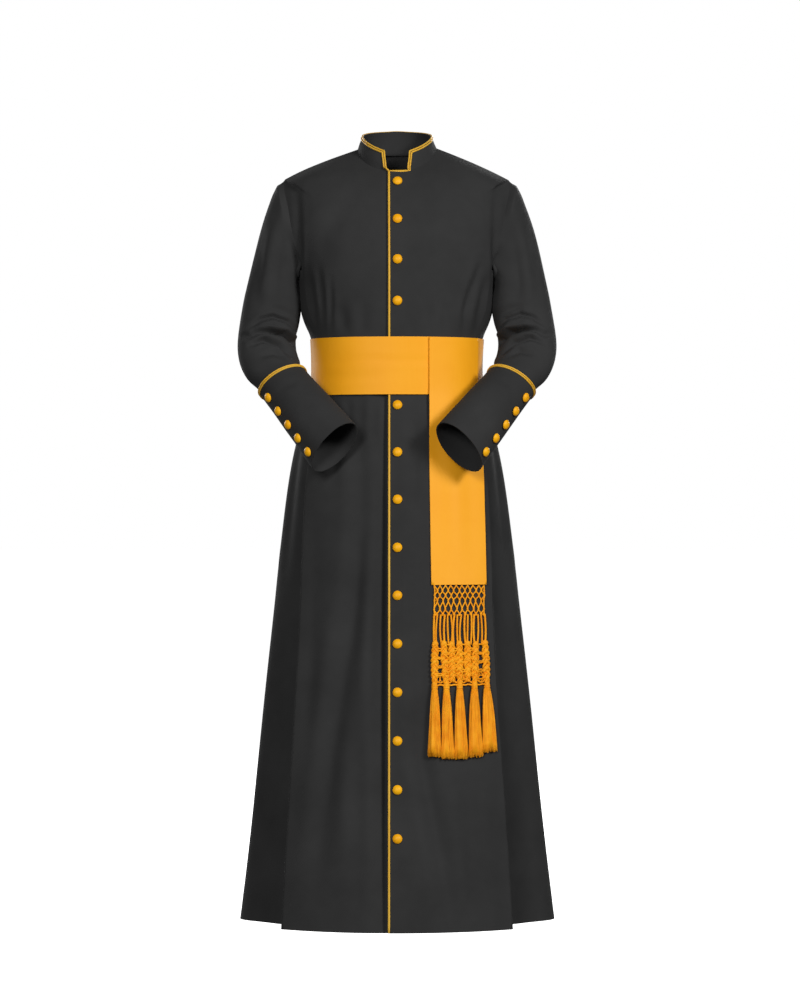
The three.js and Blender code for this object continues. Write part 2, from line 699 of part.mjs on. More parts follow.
function frontPiping() {
  const path = [];
  for (const line of leftFront) {
    const [edge, next] = line;
    const point = mixPoints(edge, next, PIPING.edgeWidth / 2 / edge.distanceTo(next));
    path.push({ point, normal: new THREE.Vector3(0, -1, 0.12) });
  }
  path[0].point.lerp(path[1].point, 0.35);
  return strip(path.reverse(), PIPING.edgeWidth, PIPING.thickness, false);
}
addNode('piping_front', frontPiping(), 'piping');

// Where the cuff's piping lies among the sleeve's sections.
const PIPING_PLACE = CUFF_TOP + 0.035;

function cuffPiping() {
  const path = [];
  for (const turn of ROUNDS) {
    const round = -turn;
    const at = sleevePoint(PIPING_PLACE, round);
    const below = sleevePoint(PIPING_PLACE + 0.065, round);
    path.push({ point: at, normal: outwardAt(at, below, sleevePoint(PIPING_PLACE, round - 2)) });
  }
  return strip(path, PIPING.width, PIPING.thickness, true, SEAM_GAP + 0.1);
}

function mirrorGeometry(geometry) {
  const flipped = geometry.clone();
  flipped.scale(-1, 1, 1);
  const index = Array.from(flipped.index.array);
  for (let i = 0; i < index.length; i += 3) [index[i], index[i + 1]] = [index[i + 1], index[i]];
  flipped.setIndex(index);
  flipped.computeVertexNormals();
  return flipped;
}
const leftCuffPiping = cuffPiping();
addNode('piping_cuff_left', leftCuffPiping, 'piping');
addNode('piping_cuff_right', mirrorGeometry(leftCuffPiping), 'piping');

// ---------- buttons ----------
// A domed, covered button standing on the cloth at a point, along the cloth's outward direction.
function buttonGeometry(point, normal) {
  const { radius, height, sides } = BUTTON;
  const profile = [
    { r: 0.86, h: 0 }, { r: 1, h: 0.3 }, { r: 0.84, h: 0.72 }, { r: 0.42, h: 0.97 },
  ];
  const upright = new THREE.Quaternion().setFromUnitVectors(new THREE.Vector3(0, 0, 1), normal);
  const rings = profile.map(({ r, h }) => Array.from({ length: sides }, (_, k) => {
    const turn = 2 * Math.PI * k / sides;
    const local = new THREE.Vector3(radius * r * Math.cos(turn), radius * r * Math.sin(turn), height * h);
    return local.applyQuaternion(upright).add(point);
  }));
  return loft(rings);
}

// Steps that a walk along the cloth is made in: millimetres down it, degrees round it.
const WALK = { down: 0.5, round: 0.25 };

// The height that is a given length of cloth further down the closing edge.
function heightAfter(start, length) {
  let z = start;
  let walked = 0;
  while (walked < length) {
    walked += frontSurface(0, z).distanceTo(frontSurface(0, z - WALK.down));
    z -= WALK.down;
  }
  return z;
}

function addFrontButtons() {
  const heights = [];
  for (const run of [CHEST_BUTTONS, SKIRT_BUTTONS]) {
    for (let k = 0; k < run.count; k += 1) heights.push(heightAfter(run.first, run.spacing * k));
  }
  for (const [k, z] of heights.entries()) {
    const at = frontSurface(1, z);
    const along = frontSurface(1, z - 6).sub(frontSurface(1, z + 6));
    const normal = along.cross(new THREE.Vector3(1, 0, 0)).normalize();
    const number = String(k + 1).padStart(2, '0');
    addNode(`button_${number}`, buttonGeometry(at.addScaledVector(normal, BUTTON.stand), normal), 'button');
  }
}
addFrontButtons();

function addCuffButtons() {
  const { count, first, last, round } = CUFF_BUTTONS;
  for (let k = 0; k < count; k += 1) {
    const place = mix(CUFF_TOP, CUFF_END, mix(first, last, k / (count - 1)));
    const at = sleevePoint(place, round);
    const normal = outwardAt(at, sleevePoint(place + 0.05, round), sleevePoint(place, round - 4));
    const left = buttonGeometry(at.addScaledVector(normal, BUTTON.cuffStand), normal);
    addNode(`cuff_button_left_${k + 1}`, left, 'button');
    addNode(`cuff_button_right_${k + 1}`, mirrorGeometry(left), 'button');
  }
}
addCuffButtons();

// ---------- cincture ----------
const bandOut = BAND.lift + SASH_CLOTH;
const FALL_LIFT = bandOut + SASH_CLOTH + 6 * SEAM_GAP;
const BAND_SIDES = 36;
// Below the band, the fall has come to rest on the skirt between these two depths.
const SETTLING = { from: 15, to: 120, lift: 1 };
// How far the fringe stands off the fronts, and how the tassels stand: the most that half a tassel
// reaches forward, and how much it turns to follow the skirt.
const FRINGE_LIFT = 1;
const TASSEL_STAND = { lift: 2.4, halfDepth: 6.5, turn: 0.42 };

function bandGrid() {
  const heights = [BAND.top, (BAND.top + BAND.bottom) / 2, BAND.bottom];
  return heights.map((z) => Array.from({ length: BAND_SIDES }, (_, k) => {
    const angle = 360 * k / BAND_SIDES;
    const signed = angle > 180 ? angle - 360 : angle;
    return Math.abs(signed) < 90 ? frontPoint(signed, z) : sidePoint(signed, z);
  }));
}
addNode('cincture_band', wall(bandGrid(), SASH_CLOTH, { wraps: true, lift: bandOut }), 'satin');

// The angle round the front ring that is a given length of cloth further round than x.
function angleAfter(x, length, z) {
  let angle = frontAngle(x, z);
  let walked = 0;
  while (walked < length) {
    walked += frontPoint(angle + WALK.round, z).distanceTo(frontPoint(angle, z));
    angle += WALK.round;
  }
  return angle;
}

// How far what hangs over the skirt stands off the fronts at a height.
const hangLift = (z) => {
  const settled = smooth(BAND.bottom - SETTLING.from, BAND.bottom - SETTLING.to, z);
  return mix(FALL_LIFT, SASH_CLOTH + SETTLING.lift, settled);
};

function hangingGrid(heights, columns, edges, lift) {
  return heights.map((z) => {
    const { from, to } = edges(z);
    const line = Array.from({ length: columns + 1 }, (_, k) => frontPoint(mix(from, to, k / columns), z));
    const out = (p) => new THREE.Vector3(p.x, p.y * 1.6, 0).normalize();
    return line.map((p) => p.clone().addScaledVector(out(p), lift(z)));
  });
}

const fallHeights = [
  BAND.top - 0.5, -400, -440, BAND.bottom, -500, -540, -580, -630, -680, -730, -780, FALL.bottom,
];
const fallEdges = (z) => ({ from: frontAngle(FALL.left, z), to: angleAfter(FALL.left, FALL.width, z) });
addNode('cincture_fall', wall(hangingGrid(fallHeights, 5, fallEdges, hangLift), SASH_CLOTH), 'satin');

// ---------- fringe ----------
for (const tier of FRINGE) {
  const heights = [tier.top, (tier.top + tier.bottom) / 2, tier.bottom];
  const edges = (z) => ({ from: frontAngle(tier.left, z), to: frontAngle(tier.right, z) });
  const grid = hangingGrid(heights, 4, edges, () => tier.thick + FRINGE_LIFT);
  addNode(tier.name, wall(grid, tier.thick), 'thread');
}

function tasselGeometry(tassel) {
  const sides = 10;
  const profile = [
    { fall: 0, r: 0.36 }, { fall: 0.06, r: 0.46 }, { fall: 0.16, r: 0.4 }, { fall: 0.3, r: 0.62 },
    { fall: 0.65, r: 0.86 }, { fall: 1, r: 1 },
  ];
  const rings = profile.map(({ fall, r }) => {
    const z = mix(TASSEL_TOP, tassel.bottom, fall);
    const x = mix(tassel.x, tassel.spread, fall);
    const radius = tassel.radius * r;
    const halfDepth = Math.min(radius, TASSEL_STAND.halfDepth);
    const middle = frontSurface(x, z).y - halfDepth - TASSEL_STAND.lift;
    return Array.from({ length: sides }, (_, k) => {
      const turn = -2 * Math.PI * k / sides;
      const across = radius * Math.cos(turn);
      return new THREE.Vector3(x + across, middle + halfDepth * Math.sin(turn) + TASSEL_STAND.turn * across, z);
    });
  });
  return loft(rings);
}
TASSELS.forEach((tassel, k) => addNode(`tassel_${k + 1}`, tasselGeometry(tassel), 'thread'));

export default garment;
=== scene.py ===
"""A worn cassock with its gold cincture: the looks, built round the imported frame. Metres, +Z up."""
import itertools
import math
import random
from collections import namedtuple

import bmesh
import bpy
import numpy as np
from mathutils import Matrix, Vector, noise
from mathutils.bvhtree import BVHTree


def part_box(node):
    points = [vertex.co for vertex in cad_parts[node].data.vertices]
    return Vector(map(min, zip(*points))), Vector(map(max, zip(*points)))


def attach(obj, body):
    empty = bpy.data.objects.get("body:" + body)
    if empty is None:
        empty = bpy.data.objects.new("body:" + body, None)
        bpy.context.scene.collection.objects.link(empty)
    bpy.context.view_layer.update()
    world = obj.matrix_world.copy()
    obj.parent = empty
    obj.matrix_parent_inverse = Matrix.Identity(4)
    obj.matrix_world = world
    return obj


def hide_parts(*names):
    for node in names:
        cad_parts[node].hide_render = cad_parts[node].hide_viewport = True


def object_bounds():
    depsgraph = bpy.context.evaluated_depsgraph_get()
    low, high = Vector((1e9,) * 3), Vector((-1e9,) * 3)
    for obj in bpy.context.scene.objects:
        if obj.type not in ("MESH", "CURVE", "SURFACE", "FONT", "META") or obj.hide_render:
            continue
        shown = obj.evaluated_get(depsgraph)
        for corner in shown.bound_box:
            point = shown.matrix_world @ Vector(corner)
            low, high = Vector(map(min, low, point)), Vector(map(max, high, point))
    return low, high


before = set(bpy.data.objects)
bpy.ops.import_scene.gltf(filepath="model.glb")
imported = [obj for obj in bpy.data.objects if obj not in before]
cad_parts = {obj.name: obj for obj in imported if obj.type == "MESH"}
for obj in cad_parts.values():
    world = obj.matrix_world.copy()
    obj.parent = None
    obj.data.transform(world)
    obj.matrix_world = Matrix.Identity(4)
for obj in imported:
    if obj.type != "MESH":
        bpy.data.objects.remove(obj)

cad_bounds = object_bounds()

MM = 0.001
WELD = 0.02 * MM
RIM_WIDTH = 2.45 * MM
CLOTH_THICKNESS = 1.2 * MM
# The cuffs and the sash are folded double.
DOUBLED_THICKNESS = 1.8 * MM
COLLAR_THICKNESS = 2 * MM
FLOOR_BELOW_HEM = 120 * MM
GOLDEN = (1 + math.sqrt(5)) / 2
# Facets that bend more than this where they meet belong to different faces.
FACE_BEND = 1.0
SHARP_FOLD = math.radians(38)
SHARP_EDGE = math.radians(65)
PRESSED = 0.85
SMOOTHING = 3


# ---------- materials ----------
def linear(hex_colour):
    """A linear colour from an sRGB hex value."""
    channels = [int(hex_colour[i:i + 2], 16) / 255 for i in (1, 3, 5)]
    return (*[c / 12.92 if c <= 0.04045 else ((c + 0.055) / 1.055) ** 2.4 for c in channels], 1)


def add_node(tree, kind, inputs=None, **settings):
    """Adds a node, gives it its settings, and sets or links its inputs."""
    node = tree.nodes.new(kind)
    for name, value in settings.items():
        setattr(node, name, value)
    for name, value in (inputs or {}).items():
        if isinstance(value, bpy.types.NodeSocket):
            tree.links.new(value, node.inputs[name])
        else:
            node.inputs[name].default_value = value
    return node


def start_material(name, finish):
    """A material whose surface has the given finish, and the object's own coordinates."""
    material = bpy.data.materials.new(name)
    material.use_nodes = True
    tree = material.node_tree
    tree.nodes.clear()
    surface = add_node(tree, "ShaderNodeBsdfPrincipled", finish)
    add_node(tree, "ShaderNodeOutputMaterial", {"Surface": surface.outputs["BSDF"]})
    places = add_node(tree, "ShaderNodeTexCoord").outputs["Object"]
    return material, tree, surface, places


def bands_per_metre(spacing):
    """The Wave node's scale for bands this far apart along one axis."""
    return 2 * math.pi / 20 / spacing


def worsted_twill_suiting():
    """Worsted wool twill, piece-dyed charcoal black and pressed: matt, with a faint diagonal wale,
    a slight bloom of loose fibre at grazing angles, and hardly any gloss."""
    material, tree, surface, places = start_material("worsted_twill_suiting", {
        "Roughness": 0.84, "IOR": 1.46, "Specular IOR Level": 0.16,
        "Sheen Weight": 0.02, "Sheen Roughness": 0.45,
    })
    # A real wale is 0.6 mm apart. It is drawn 2.2 mm apart, so that it can be seen at all.
    wale = add_node(tree, "ShaderNodeTexWave", {
        "Vector": places, "Scale": bands_per_metre(2.2 * MM) * math.sqrt(2), "Distortion": 0.6, "Detail": 1,
    }, bands_direction="DIAGONAL")
    fibre = add_node(tree, "ShaderNodeTexNoise", {"Vector": places, "Scale": 700, "Detail": 3})
    cloud = add_node(tree, "ShaderNodeTexNoise", {
        "Vector": places, "Scale": 9, "Detail": 3, "Roughness": 0.6,
    })
    # Broad random patches, a little lighter or darker in tone, spread over the cloth.
    pressed = add_node(tree, "ShaderNodeMapRange", {
        "Value": cloud.outputs["Fac"], "From Min": 0.3, "From Max": 0.7, "To Min": 0.1, "To Max": 0.75,
    })
    speck = add_node(tree, "ShaderNodeMath", {
        0: fibre.outputs["Fac"], 1: 0.35, 2: pressed.outputs["Result"],
    }, operation="MULTIPLY_ADD")
    dye = add_node(tree, "ShaderNodeValToRGB", {"Fac": speck.outputs["Value"]})
    dye.color_ramp.elements[0].color = linear("#2a2a2a")
    dye.color_ramp.elements[1].color = linear("#353535")
    twisted = add_node(tree, "ShaderNodeMath", {
        0: fibre.outputs["Fac"], 1: 0.8, 2: wale.outputs["Fac"],
    }, operation="MULTIPLY_ADD")
    weave = add_node(tree, "ShaderNodeBump", {
        "Height": twisted.outputs["Value"], "Strength": 0.28, "Distance": 0.35 * MM,
    })
    tree.links.new(dye.outputs["Color"], surface.inputs["Base Color"])
    tree.links.new(weave.outputs["Normal"], surface.inputs["Normal"])
    return material


def streaked_satin(name, dark, light, streak_scale, roughness, sheen, relief):
    """Satin-faced cloth whose fine upright ribs break its gloss into streaks."""
    material, tree, surface, places = start_material(name, {
        "Roughness": roughness, "IOR": 1.5, "Specular IOR Level": 0.25,
        "Sheen Weight": sheen, "Sheen Roughness": 0.35,
    })
    stretched = add_node(tree, "ShaderNodeMapping", {"Vector": places, "Scale": streak_scale})
    ribs = add_node(tree, "ShaderNodeTexNoise", {
        "Vector": stretched.outputs["Vector"], "Scale": 1, "Detail": 4,
    })
    cloud = add_node(tree, "ShaderNodeTexNoise", {"Vector": places, "Scale": 14, "Detail": 2})
    mottle = add_node(tree, "ShaderNodeMath", {
        0: ribs.outputs["Fac"], 1: 0.6, 2: cloud.outputs["Fac"],
    }, operation="MULTIPLY_ADD")
    tint = add_node(tree, "ShaderNodeMapRange", {
        "Value": mottle.outputs["Value"], "From Min": 0.5, "From Max": 1.1,
    })
    dye = add_node(tree, "ShaderNodeValToRGB", {"Fac": tint.outputs["Result"]})
    dye.color_ramp.elements[0].color = linear(dark)
    dye.color_ramp.elements[1].color = linear(light)
    grain = add_node(tree, "ShaderNodeBump", {
        "Height": ribs.outputs["Fac"], "Strength": 0.35, "Distance": relief,
    })
    tree.links.new(dye.outputs["Color"], surface.inputs["Base Color"])
    tree.links.new(grain.outputs["Normal"], surface.inputs["Normal"])
    return material


def twisted_rayon_thread():
    """Bright rayon yarn, twisted and dyed with the sash: the slanting lay of its plies is bumped, and its
    colour is painted lighter on one side of each ply and darker on the other, a painted highlight and
    painted shade."""
    material, tree, surface, places = start_material("rayon_fringe_thread", {
        "Roughness": 0.6, "IOR": 1.5, "Specular IOR Level": 0.2, "Sheen Weight": 0.02,
    })
    plies = add_node(tree, "ShaderNodeTexWave", {
        "Vector": places, "Scale": bands_per_metre(2.4 * MM) * math.sqrt(3), "Distortion": 1.5, "Detail": 2,
    }, bands_direction="DIAGONAL")
    cloud = add_node(tree, "ShaderNodeTexNoise", {"Vector": places, "Scale": 60, "Detail": 2})
    # The ply bands lighten and darken the colour: painted highlight and painted shade on each ply, mixed
    # with random mottle from the cloud.
    mottle = add_node(tree, "ShaderNodeMath", {
        0: plies.outputs["Fac"], 1: 0.35, 2: cloud.outputs["Fac"],
    }, operation="MULTIPLY_ADD")
    tint = add_node(tree, "ShaderNodeMapRange", {
        "Value": mottle.outputs["Value"], "From Min": 0.35, "From Max": 0.95,
    })
    dye = add_node(tree, "ShaderNodeValToRGB", {"Fac": tint.outputs["Result"]})
    dye.color_ramp.elements[0].color = linear("#ee8e04")
    dye.color_ramp.elements[1].color = linear("#ffb01a")
    lay = add_node(tree, "ShaderNodeBump", {
        "Height": plies.outputs["Fac"], "Strength": 0.5, "Distance": 0.3 * MM,
    })
    tree.links.new(dye.outputs["Color"], surface.inputs["Base Color"])
    tree.links.new(lay.outputs["Normal"], surface.inputs["Normal"])
    return material


def studio_paper():
    """Matt white background paper, lit from behind so that it takes only a soft shadow."""
    material, tree, surface, places = start_material("studio_paper", {
        "Base Color": linear("#fafafa"), "Roughness": 0.95,
        "Emission Color": (1, 1, 1, 1), "Emission Strength": 0.93,
    })
    tooth = add_node(tree, "ShaderNodeTexNoise", {"Vector": places, "Scale": 40, "Detail": 2})
    bump = add_node(tree, "ShaderNodeBump", {"Height": tooth.outputs["Fac"], "Strength": 0.02})
    tree.links.new(bump.outputs["Normal"], surface.inputs["Normal"])
    return material


SUITING = worsted_twill_suiting()
# Faille satin, woven of bright filament: smooth gold with upright ribs, 0.5 mm apart in the cloth
# and drawn a little coarser, and a soft gloss.
SASH_SATIN = streaked_satin("faille_satin_gold", "#f9a60e", "#fdae1c", (900, 900, 22), 0.55, 0.02, 0.4 * MM)
# The same satin cut on the bias and rolled round a cord, its gold painted paler and less saturated than the
# sash's all over: a painted sheen.
PIPING_SATIN = streaked_satin("bias_satin_piping", "#d9a020", "#e8bb45", (600, 600, 600), 0.4, 0.1, 0.2 * MM)
# The satin drawn tight over a metal shell: even, bright, its weave closed up.
BUTTON_SATIN = streaked_satin(
    "satin_covered_button", "#f3a506", "#fdb90f", (800, 800, 800), 0.45, 0.05, 0.25 * MM)
FRINGE_RAYON = twisted_rayon_thread()


# ---------- cloth from the frame's walls ----------
def join_facets(shell):
    """Joins each two facets that meet on the longest side of both, so that the wall is four-sided again."""
    joined = set()
    diagonals = []
    for edge in sorted(shell.edges, key=lambda e: -e.calc_length()):
        if len(edge.link_faces) != 2:
            continue
        first, second = edge.link_faces
        length = edge.calc_length()
        longest = all(length >= max(e.calc_length() for e in f.edges) - WELD for f in edge.link_faces)
        flat = first.normal.angle(second.normal, 0) < FACE_BEND
        if longest and flat and first not in joined and second not in joined:
            joined |= {first, second}
            diagonals.append(edge)
    bmesh.ops.dissolve_edges(shell, edges=diagonals, use_verts=False)


def islands(shell):
    """The faces of each separate sheet, the largest sheets first."""
    seen = set()
    found = []
    for start in shell.faces:
        if start in seen:
            continue
        sheet = [start]
        seen.add(start)
        for face in sheet:
            for edge in face.edges:
                for other in edge.link_faces:
                    if other not in seen:
                        seen.add(other)
                        sheet.append(other)
        found.append(sheet)
    return sorted(found, key=len, reverse=True)


def outer_face(node, is_tube):
    """The outside of a frame wall, as one four-sided sheet."""
    shell = bmesh.new()
    shell.from_mesh(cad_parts[node].data)
    bmesh.ops.remove_doubles(shell, verts=shell.verts, dist=WELD)
    join_facets(shell)
    rims = [f for f in shell.faces if f.calc_area() / max(e.calc_length() for e in f.edges) < RIM_WIDTH]
    bmesh.ops.delete(shell, geom=rims, context="FACES")
    low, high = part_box(node)
    middle = (Vector(low) + Vector(high)) / 2
    if not is_tube:
        middle.x = 0
        middle.y = 0

    def outwardness(sheet):
        """How much of a sheet faces away from the middle."""
        return sum(f.normal.dot(f.calc_center_median() - middle) * f.calc_area() for f in sheet)

    kept = max(islands(shell)[:2], key=outwardness)
    others = [f for f in shell.faces if f not in set(kept)]
    bmesh.ops.delete(shell, geom=others, context="FACES")
    return shell


def finished_mesh(piece):
    """The mesh of a piece once its modifiers have acted."""
    graph = bpy.context.evaluated_depsgraph_get()
    return bpy.data.meshes.new_from_object(piece.evaluated_get(graph))


def new_piece(name, mesh, material):
    """A piece that rides on the garment, stands for the frame node of its name and has its finish."""
    piece = bpy.data.objects.new(f"worn_{name}", mesh)
    bpy.context.scene.collection.objects.link(piece)
    mesh.materials.clear()
    mesh.materials.append(material)
    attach(piece, "root")
    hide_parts(name)
    return piece


# A fold's path is in millimetres: (across, height) on a panel. width: of its trough or ridge.
# depth: how far it stands out, or in if less than nothing. side: -1 for the front of a sleeve,
# 1 for its back, 0 for all round.
Fold = namedtuple("Fold", "path width depth side", defaults=(0,))


def press_folds(mesh, axes, folds):
    """Moves the cloth out or in along each fold, deepest midway and soft at its ends."""
    count = len(mesh.vertices)
    places = np.empty(count * 3)
    outward = np.empty(count * 3)
    mesh.vertices.foreach_get("co", places)
    mesh.vertex_normals.foreach_get("vector", outward)
    places = places.reshape(count, 3)
    outward = outward.reshape(count, 3)
    flat = places[:, axes]
    lift = np.zeros(count)
    for fold in folds:
        path = np.array(fold.path, float) * MM
        runs = np.linalg.norm(np.diff(path, axis=0), axis=1)
        walked = np.concatenate([[0], np.cumsum(runs)])
        nearest = np.full(count, np.inf)
        along = np.zeros(count)
        for start, end, run, before in zip(path[:-1], path[1:], runs, walked):
            share = np.clip((flat - start) @ (end - start) / run ** 2, 0, 1)
            away = np.linalg.norm(flat - start - share[:, None] * (end - start), axis=1)
            closer = away < nearest
            nearest[closer] = away[closer]
            along[closer] = (before + share[closer] * run) / walked[-1]
        across = nearest / (fold.width * MM)
        # A trough has a low ridge along each side, where its cloth is pushed up.
        trough = np.exp(-across ** 2) - 0.3 * np.exp(-((across - 2) / 0.9) ** 2)
        ends = np.sin(math.pi * np.clip(along, 0.02, 0.98)) ** 0.7
        near = 1.0 if fold.side == 0 else np.clip(outward[:, 1] * fold.side * 3, 0, 1)
        lift += fold.depth * MM * trough * ends * near
    places += outward * lift[:, None]
    mesh.vertices.foreach_set("co", places.reshape(-1))
    mesh.update()


def let_hang(mesh, height, across, down):
    """Gives cloth its slight unevenness, in waves of the given lengths across and down."""
    for vertex, normal in zip(mesh.vertices, [n.vector.copy() for n in mesh.vertex_normals]):
        place = vertex.co
        wave = noise.noise(Vector((place.x / across, place.y / across, place.z / down)))
        vertex.co += normal * wave * height
    mesh.update()


def thicken(name, mesh, thickness):
    """A closed shell under a sheet of cloth, with a soft finish and crisp edges."""
    draft = bpy.data.objects.new(f"{name}_draft", mesh)
    bpy.context.scene.collection.objects.link(draft)
    shell = draft.modifiers.new("cloth", "SOLIDIFY")
    shell.thickness = thickness
    shell.offset = -1
    result = finished_mesh(draft)
    bpy.data.objects.remove(draft)
    result.shade_smooth()
    result.set_sharp_from_angle(angle=SHARP_EDGE)
    result.name = name
    return result


def smooth_sheet(node, is_tube=False):
    """The smooth outside of a frame wall. Pressed edges stay crisp."""
    shell = outer_face(node, is_tube)
    pressed = shell.edges.layers.float.new("crease_edge")
    for edge in shell.edges:
        if len(edge.link_faces) == 2 and edge.calc_face_angle(0) > SHARP_FOLD:
            edge[pressed] = PRESSED
    mesh = bpy.data.meshes.new(f"{node}_sheet")
    shell.to_mesh(mesh)
    shell.free()
    draft = bpy.data.objects.new(f"{node}_draft", mesh)
    bpy.context.scene.collection.objects.link(draft)
    rounding = draft.modifiers.new("rounding", "SUBSURF")
    rounding.levels = SMOOTHING
    rounding.render_levels = SMOOTHING
    rounding.boundary_smooth = "PRESERVE_CORNERS"
    result = finished_mesh(draft)
    bpy.data.objects.remove(draft)
    return result


def rim_of(mesh):
    """The edges round a sheet: the places of their two ends, and the numbers of their vertices."""
    bm = bmesh.new()
    bm.from_mesh(mesh)
    pairs = [[v.index for v in e.verts] for e in bm.edges if e.is_boundary]
    ends = np.array([[v.co for v in e.verts] for e in bm.edges if e.is_boundary])
    bm.free()
    return ends, sorted({index for pair in pairs for index in pair})


def sew(mesh, neighbours, limit, reach, only=lambda place: True):
    """Draws the edge of a sheet onto its neighbours' edges where they are nearer than the limit,
    and eases the cloth behind it, as far in as the reach."""
    count = len(mesh.vertices)
    places = np.empty(count * 3)
    mesh.vertices.foreach_get("co", places)
    places = places.reshape(count, 3)
    ends = np.concatenate([rim_of(other)[0] for other in neighbours])
    start = ends[:, 0]
    run = ends[:, 1] - start
    _, rim = rim_of(mesh)
    rim = [index for index in rim if only(places[index])]
    moves = []
    for index in rim:
        share = np.clip(((places[index] - start) * run).sum(1) / (run ** 2).sum(1), 0, 1)
        targets = start + share[:, None] * run
        away = np.linalg.norm(targets - places[index], axis=1)
        best = away.argmin()
        moves.append(targets[best] - places[index] if away[best] < limit else np.zeros(3))
    moves = np.array(moves)
    sewn = places[rim]
    for index in range(count):
        away = np.linalg.norm(sewn - places[index], axis=1)
        nearest = away.min()
        if nearest < reach:
            pull = 1 / (away + 0.05 * MM) ** 3
            ease = 1 - nearest / reach
            places[index] += (moves * pull[:, None]).sum(0) / pull.sum() * ease * ease * (3 - 2 * ease)
    mesh.vertices.foreach_set("co", places.reshape(-1))
    mesh.update()


def add_seam_allowance(mesh, inward, is_sewn):
    """Turns a narrow allowance in behind a seam, so that nothing shows through it."""
    bm = bmesh.new()
    bm.from_mesh(mesh)
    seam = [e for e in bm.edges if e.is_boundary and all(is_sewn(v.co) for v in e.verts)]
    turned = bmesh.ops.extrude_edge_only(bm, edges=seam)
    for part in turned["geom"]:
        if isinstance(part, bmesh.types.BMVert):
            part.co += inward(part.co)
    bm.to_mesh(mesh)
    bm.free()
    mesh.update()


# ---------- tubes ----------
def tube(bm, points, radius, sides=8, closed=False, squash=1.0):
    """Adds a tube along points to a mesh in the making. radius is one number or one for each point."""
    count = len(points)
    radii = radius if hasattr(radius, "__len__") else [radius] * count
    rings = []
    side = None
    for i, point in enumerate(points):
        before = points[(i - 1) % count] if closed or i else points[0]
        after = points[(i + 1) % count] if closed or i < count - 1 else points[-1]
        along = (after - before).normalized()
        if side is None:
            side = along.orthogonal().normalized()
        side = (side - along * side.dot(along)).normalized()
        up = along.cross(side)
        ring = []
        for k in range(sides):
            turn = 2 * math.pi * k / sides
            offset = side * math.cos(turn) + up * math.sin(turn) * squash
            ring.append(bm.verts.new(point + offset * radii[i]))
        rings.append(ring)
    pairs = list(zip(rings, rings[1:]))
    if closed:
        # The last ring meets the first where its first corner is nearest.
        start = min(range(sides), key=lambda k: (rings[0][k].co - rings[-1][0].co).length)
        pairs.append((rings[-1], rings[0][start:] + rings[0][:start]))
    for low, high in pairs:
        for k in range(sides):
            bm.faces.new((low[k], low[(k + 1) % sides], high[(k + 1) % sides], high[k]))
    if not closed:
        bm.faces.new(list(reversed(rings[0])))
        bm.faces.new(rings[-1])


def mesh_from(bm, name):
    """A smooth mesh with its faces out."""
    bmesh.ops.recalc_face_normals(bm, faces=bm.faces)
    mesh = bpy.data.meshes.new(name)
    bm.to_mesh(mesh)
    bm.free()
    mesh.shade_smooth()
    return mesh


# ---------- panels ----------
RIGHT_FRONT_FOLDS = [
    Fold([(-22, -420), (-24, -900), (-26, -1560)], 17, -14),
    Fold([(-16, -420), (-18, -900), (-19, -1560)], 6, -7),
    Fold([(-68, -440), (-62, -700), (-78, -860), (-95, -960), (-124, -1140), (-150, -1400)], 18, -8.5),
    Fold([(-112, -480), (-118, -560), (-116, -640)], 11, -3),
    Fold([(-92, -474), (-90, -540)], 7, -2.5),
    Fold([(-42, -474), (-45, -560)], 7, -2.5),
    Fold([(-150, -700), (-158, -900), (-170, -1200)], 14, -2.5),
    Fold([(-60, -1050), (-66, -1250), (-62, -1440)], 16, -4),
    Fold([(-148, -226), (-141, -290), (-137, -354)], 6, -4.5),
    Fold([(-126, -250), (-125, -300), (-125, -354)], 5.5, -2.8),
    Fold([(-166, -235), (-158, -300), (-150, -356)], 8, -4.5),
    Fold([(-104, -300), (-96, -358)], 10, -2.5),
    Fold([(-60, -290), (-68, -355)], 11, -2.2),
    Fold([(-70, -80), (-116, -140), (-150, -205)], 17, -3.2),
    Fold([(-190, -70), (-186, -120), (-184, -190), (-190, -226)], 6, -3),
    Fold([(-184, -165), (-184, -230), (-182, -300)], 5, -5),
]
LEFT_FRONT_FOLDS = [
    Fold([(44, -900), (44, -1130), (64, -1230), (84, -1330), (108, -1500)], 16, -8),
    Fold([(30, -474), (34, -560), (30, -700)], 10, -3),
    Fold([(165, -820), (172, -1000), (186, -1200)], 13, -3),
    Fold([(128, -1160), (140, -1300), (150, -1440)], 15, -3.5),
    Fold([(160, -214), (144, -266), (134, -312)], 7, -5),
    Fold([(136, -262), (128, -310), (126, -354)], 6, -3.5),
    Fold([(166, -235), (158, -300), (150, -356)], 8, -4.5),
    Fold([(92, -296), (88, -358)], 10, -2.5),
    Fold([(56, -280), (60, -355)], 11, -2.2),
    Fold([(72, -80), (116, -140), (150, -205)], 17, -3.2),
    Fold([(190, -70), (186, -120), (184, -190), (190, -226)], 6, -3),
    Fold([(184, -165), (184, -230), (182, -300)], 5, -5),
]
BACK_FOLDS = [
    Fold([(-128, -120), (-96, -210), (-84, -350)], 15, -3.5),
    Fold([(130, -118), (100, -205), (80, -350)], 14, -3.5),
    Fold([(-30, -250), (-26, -355)], 11, -2.5),
    Fold([(28, -268), (36, -355)], 10, -2.5),
    Fold([(-60, -474), (-72, -640), (-86, -840)], 13, -4),
    Fold([(8, -474), (4, -640), (-8, -820)], 12, -3.5),
    Fold([(70, -474), (84, -650), (90, -860)], 14, -4),
    Fold([(0, -60), (2, -170)], 20, -1.8),
]
SIDE_FOLDS = [
    Fold([(-30, -474), (-44, -640), (-54, -820)], 13, -4),
    Fold([(24, -474), (40, -650), (62, -900)], 14, -4.5),
    Fold([(-12, -215), (-13, -290), (-14, -350)], 28, 3.5),
    Fold([(34, -262), (28, -352)], 9, -3),
    Fold([(-4, -800), (-10, -1100), (-6, -1430)], 16, -4),
]
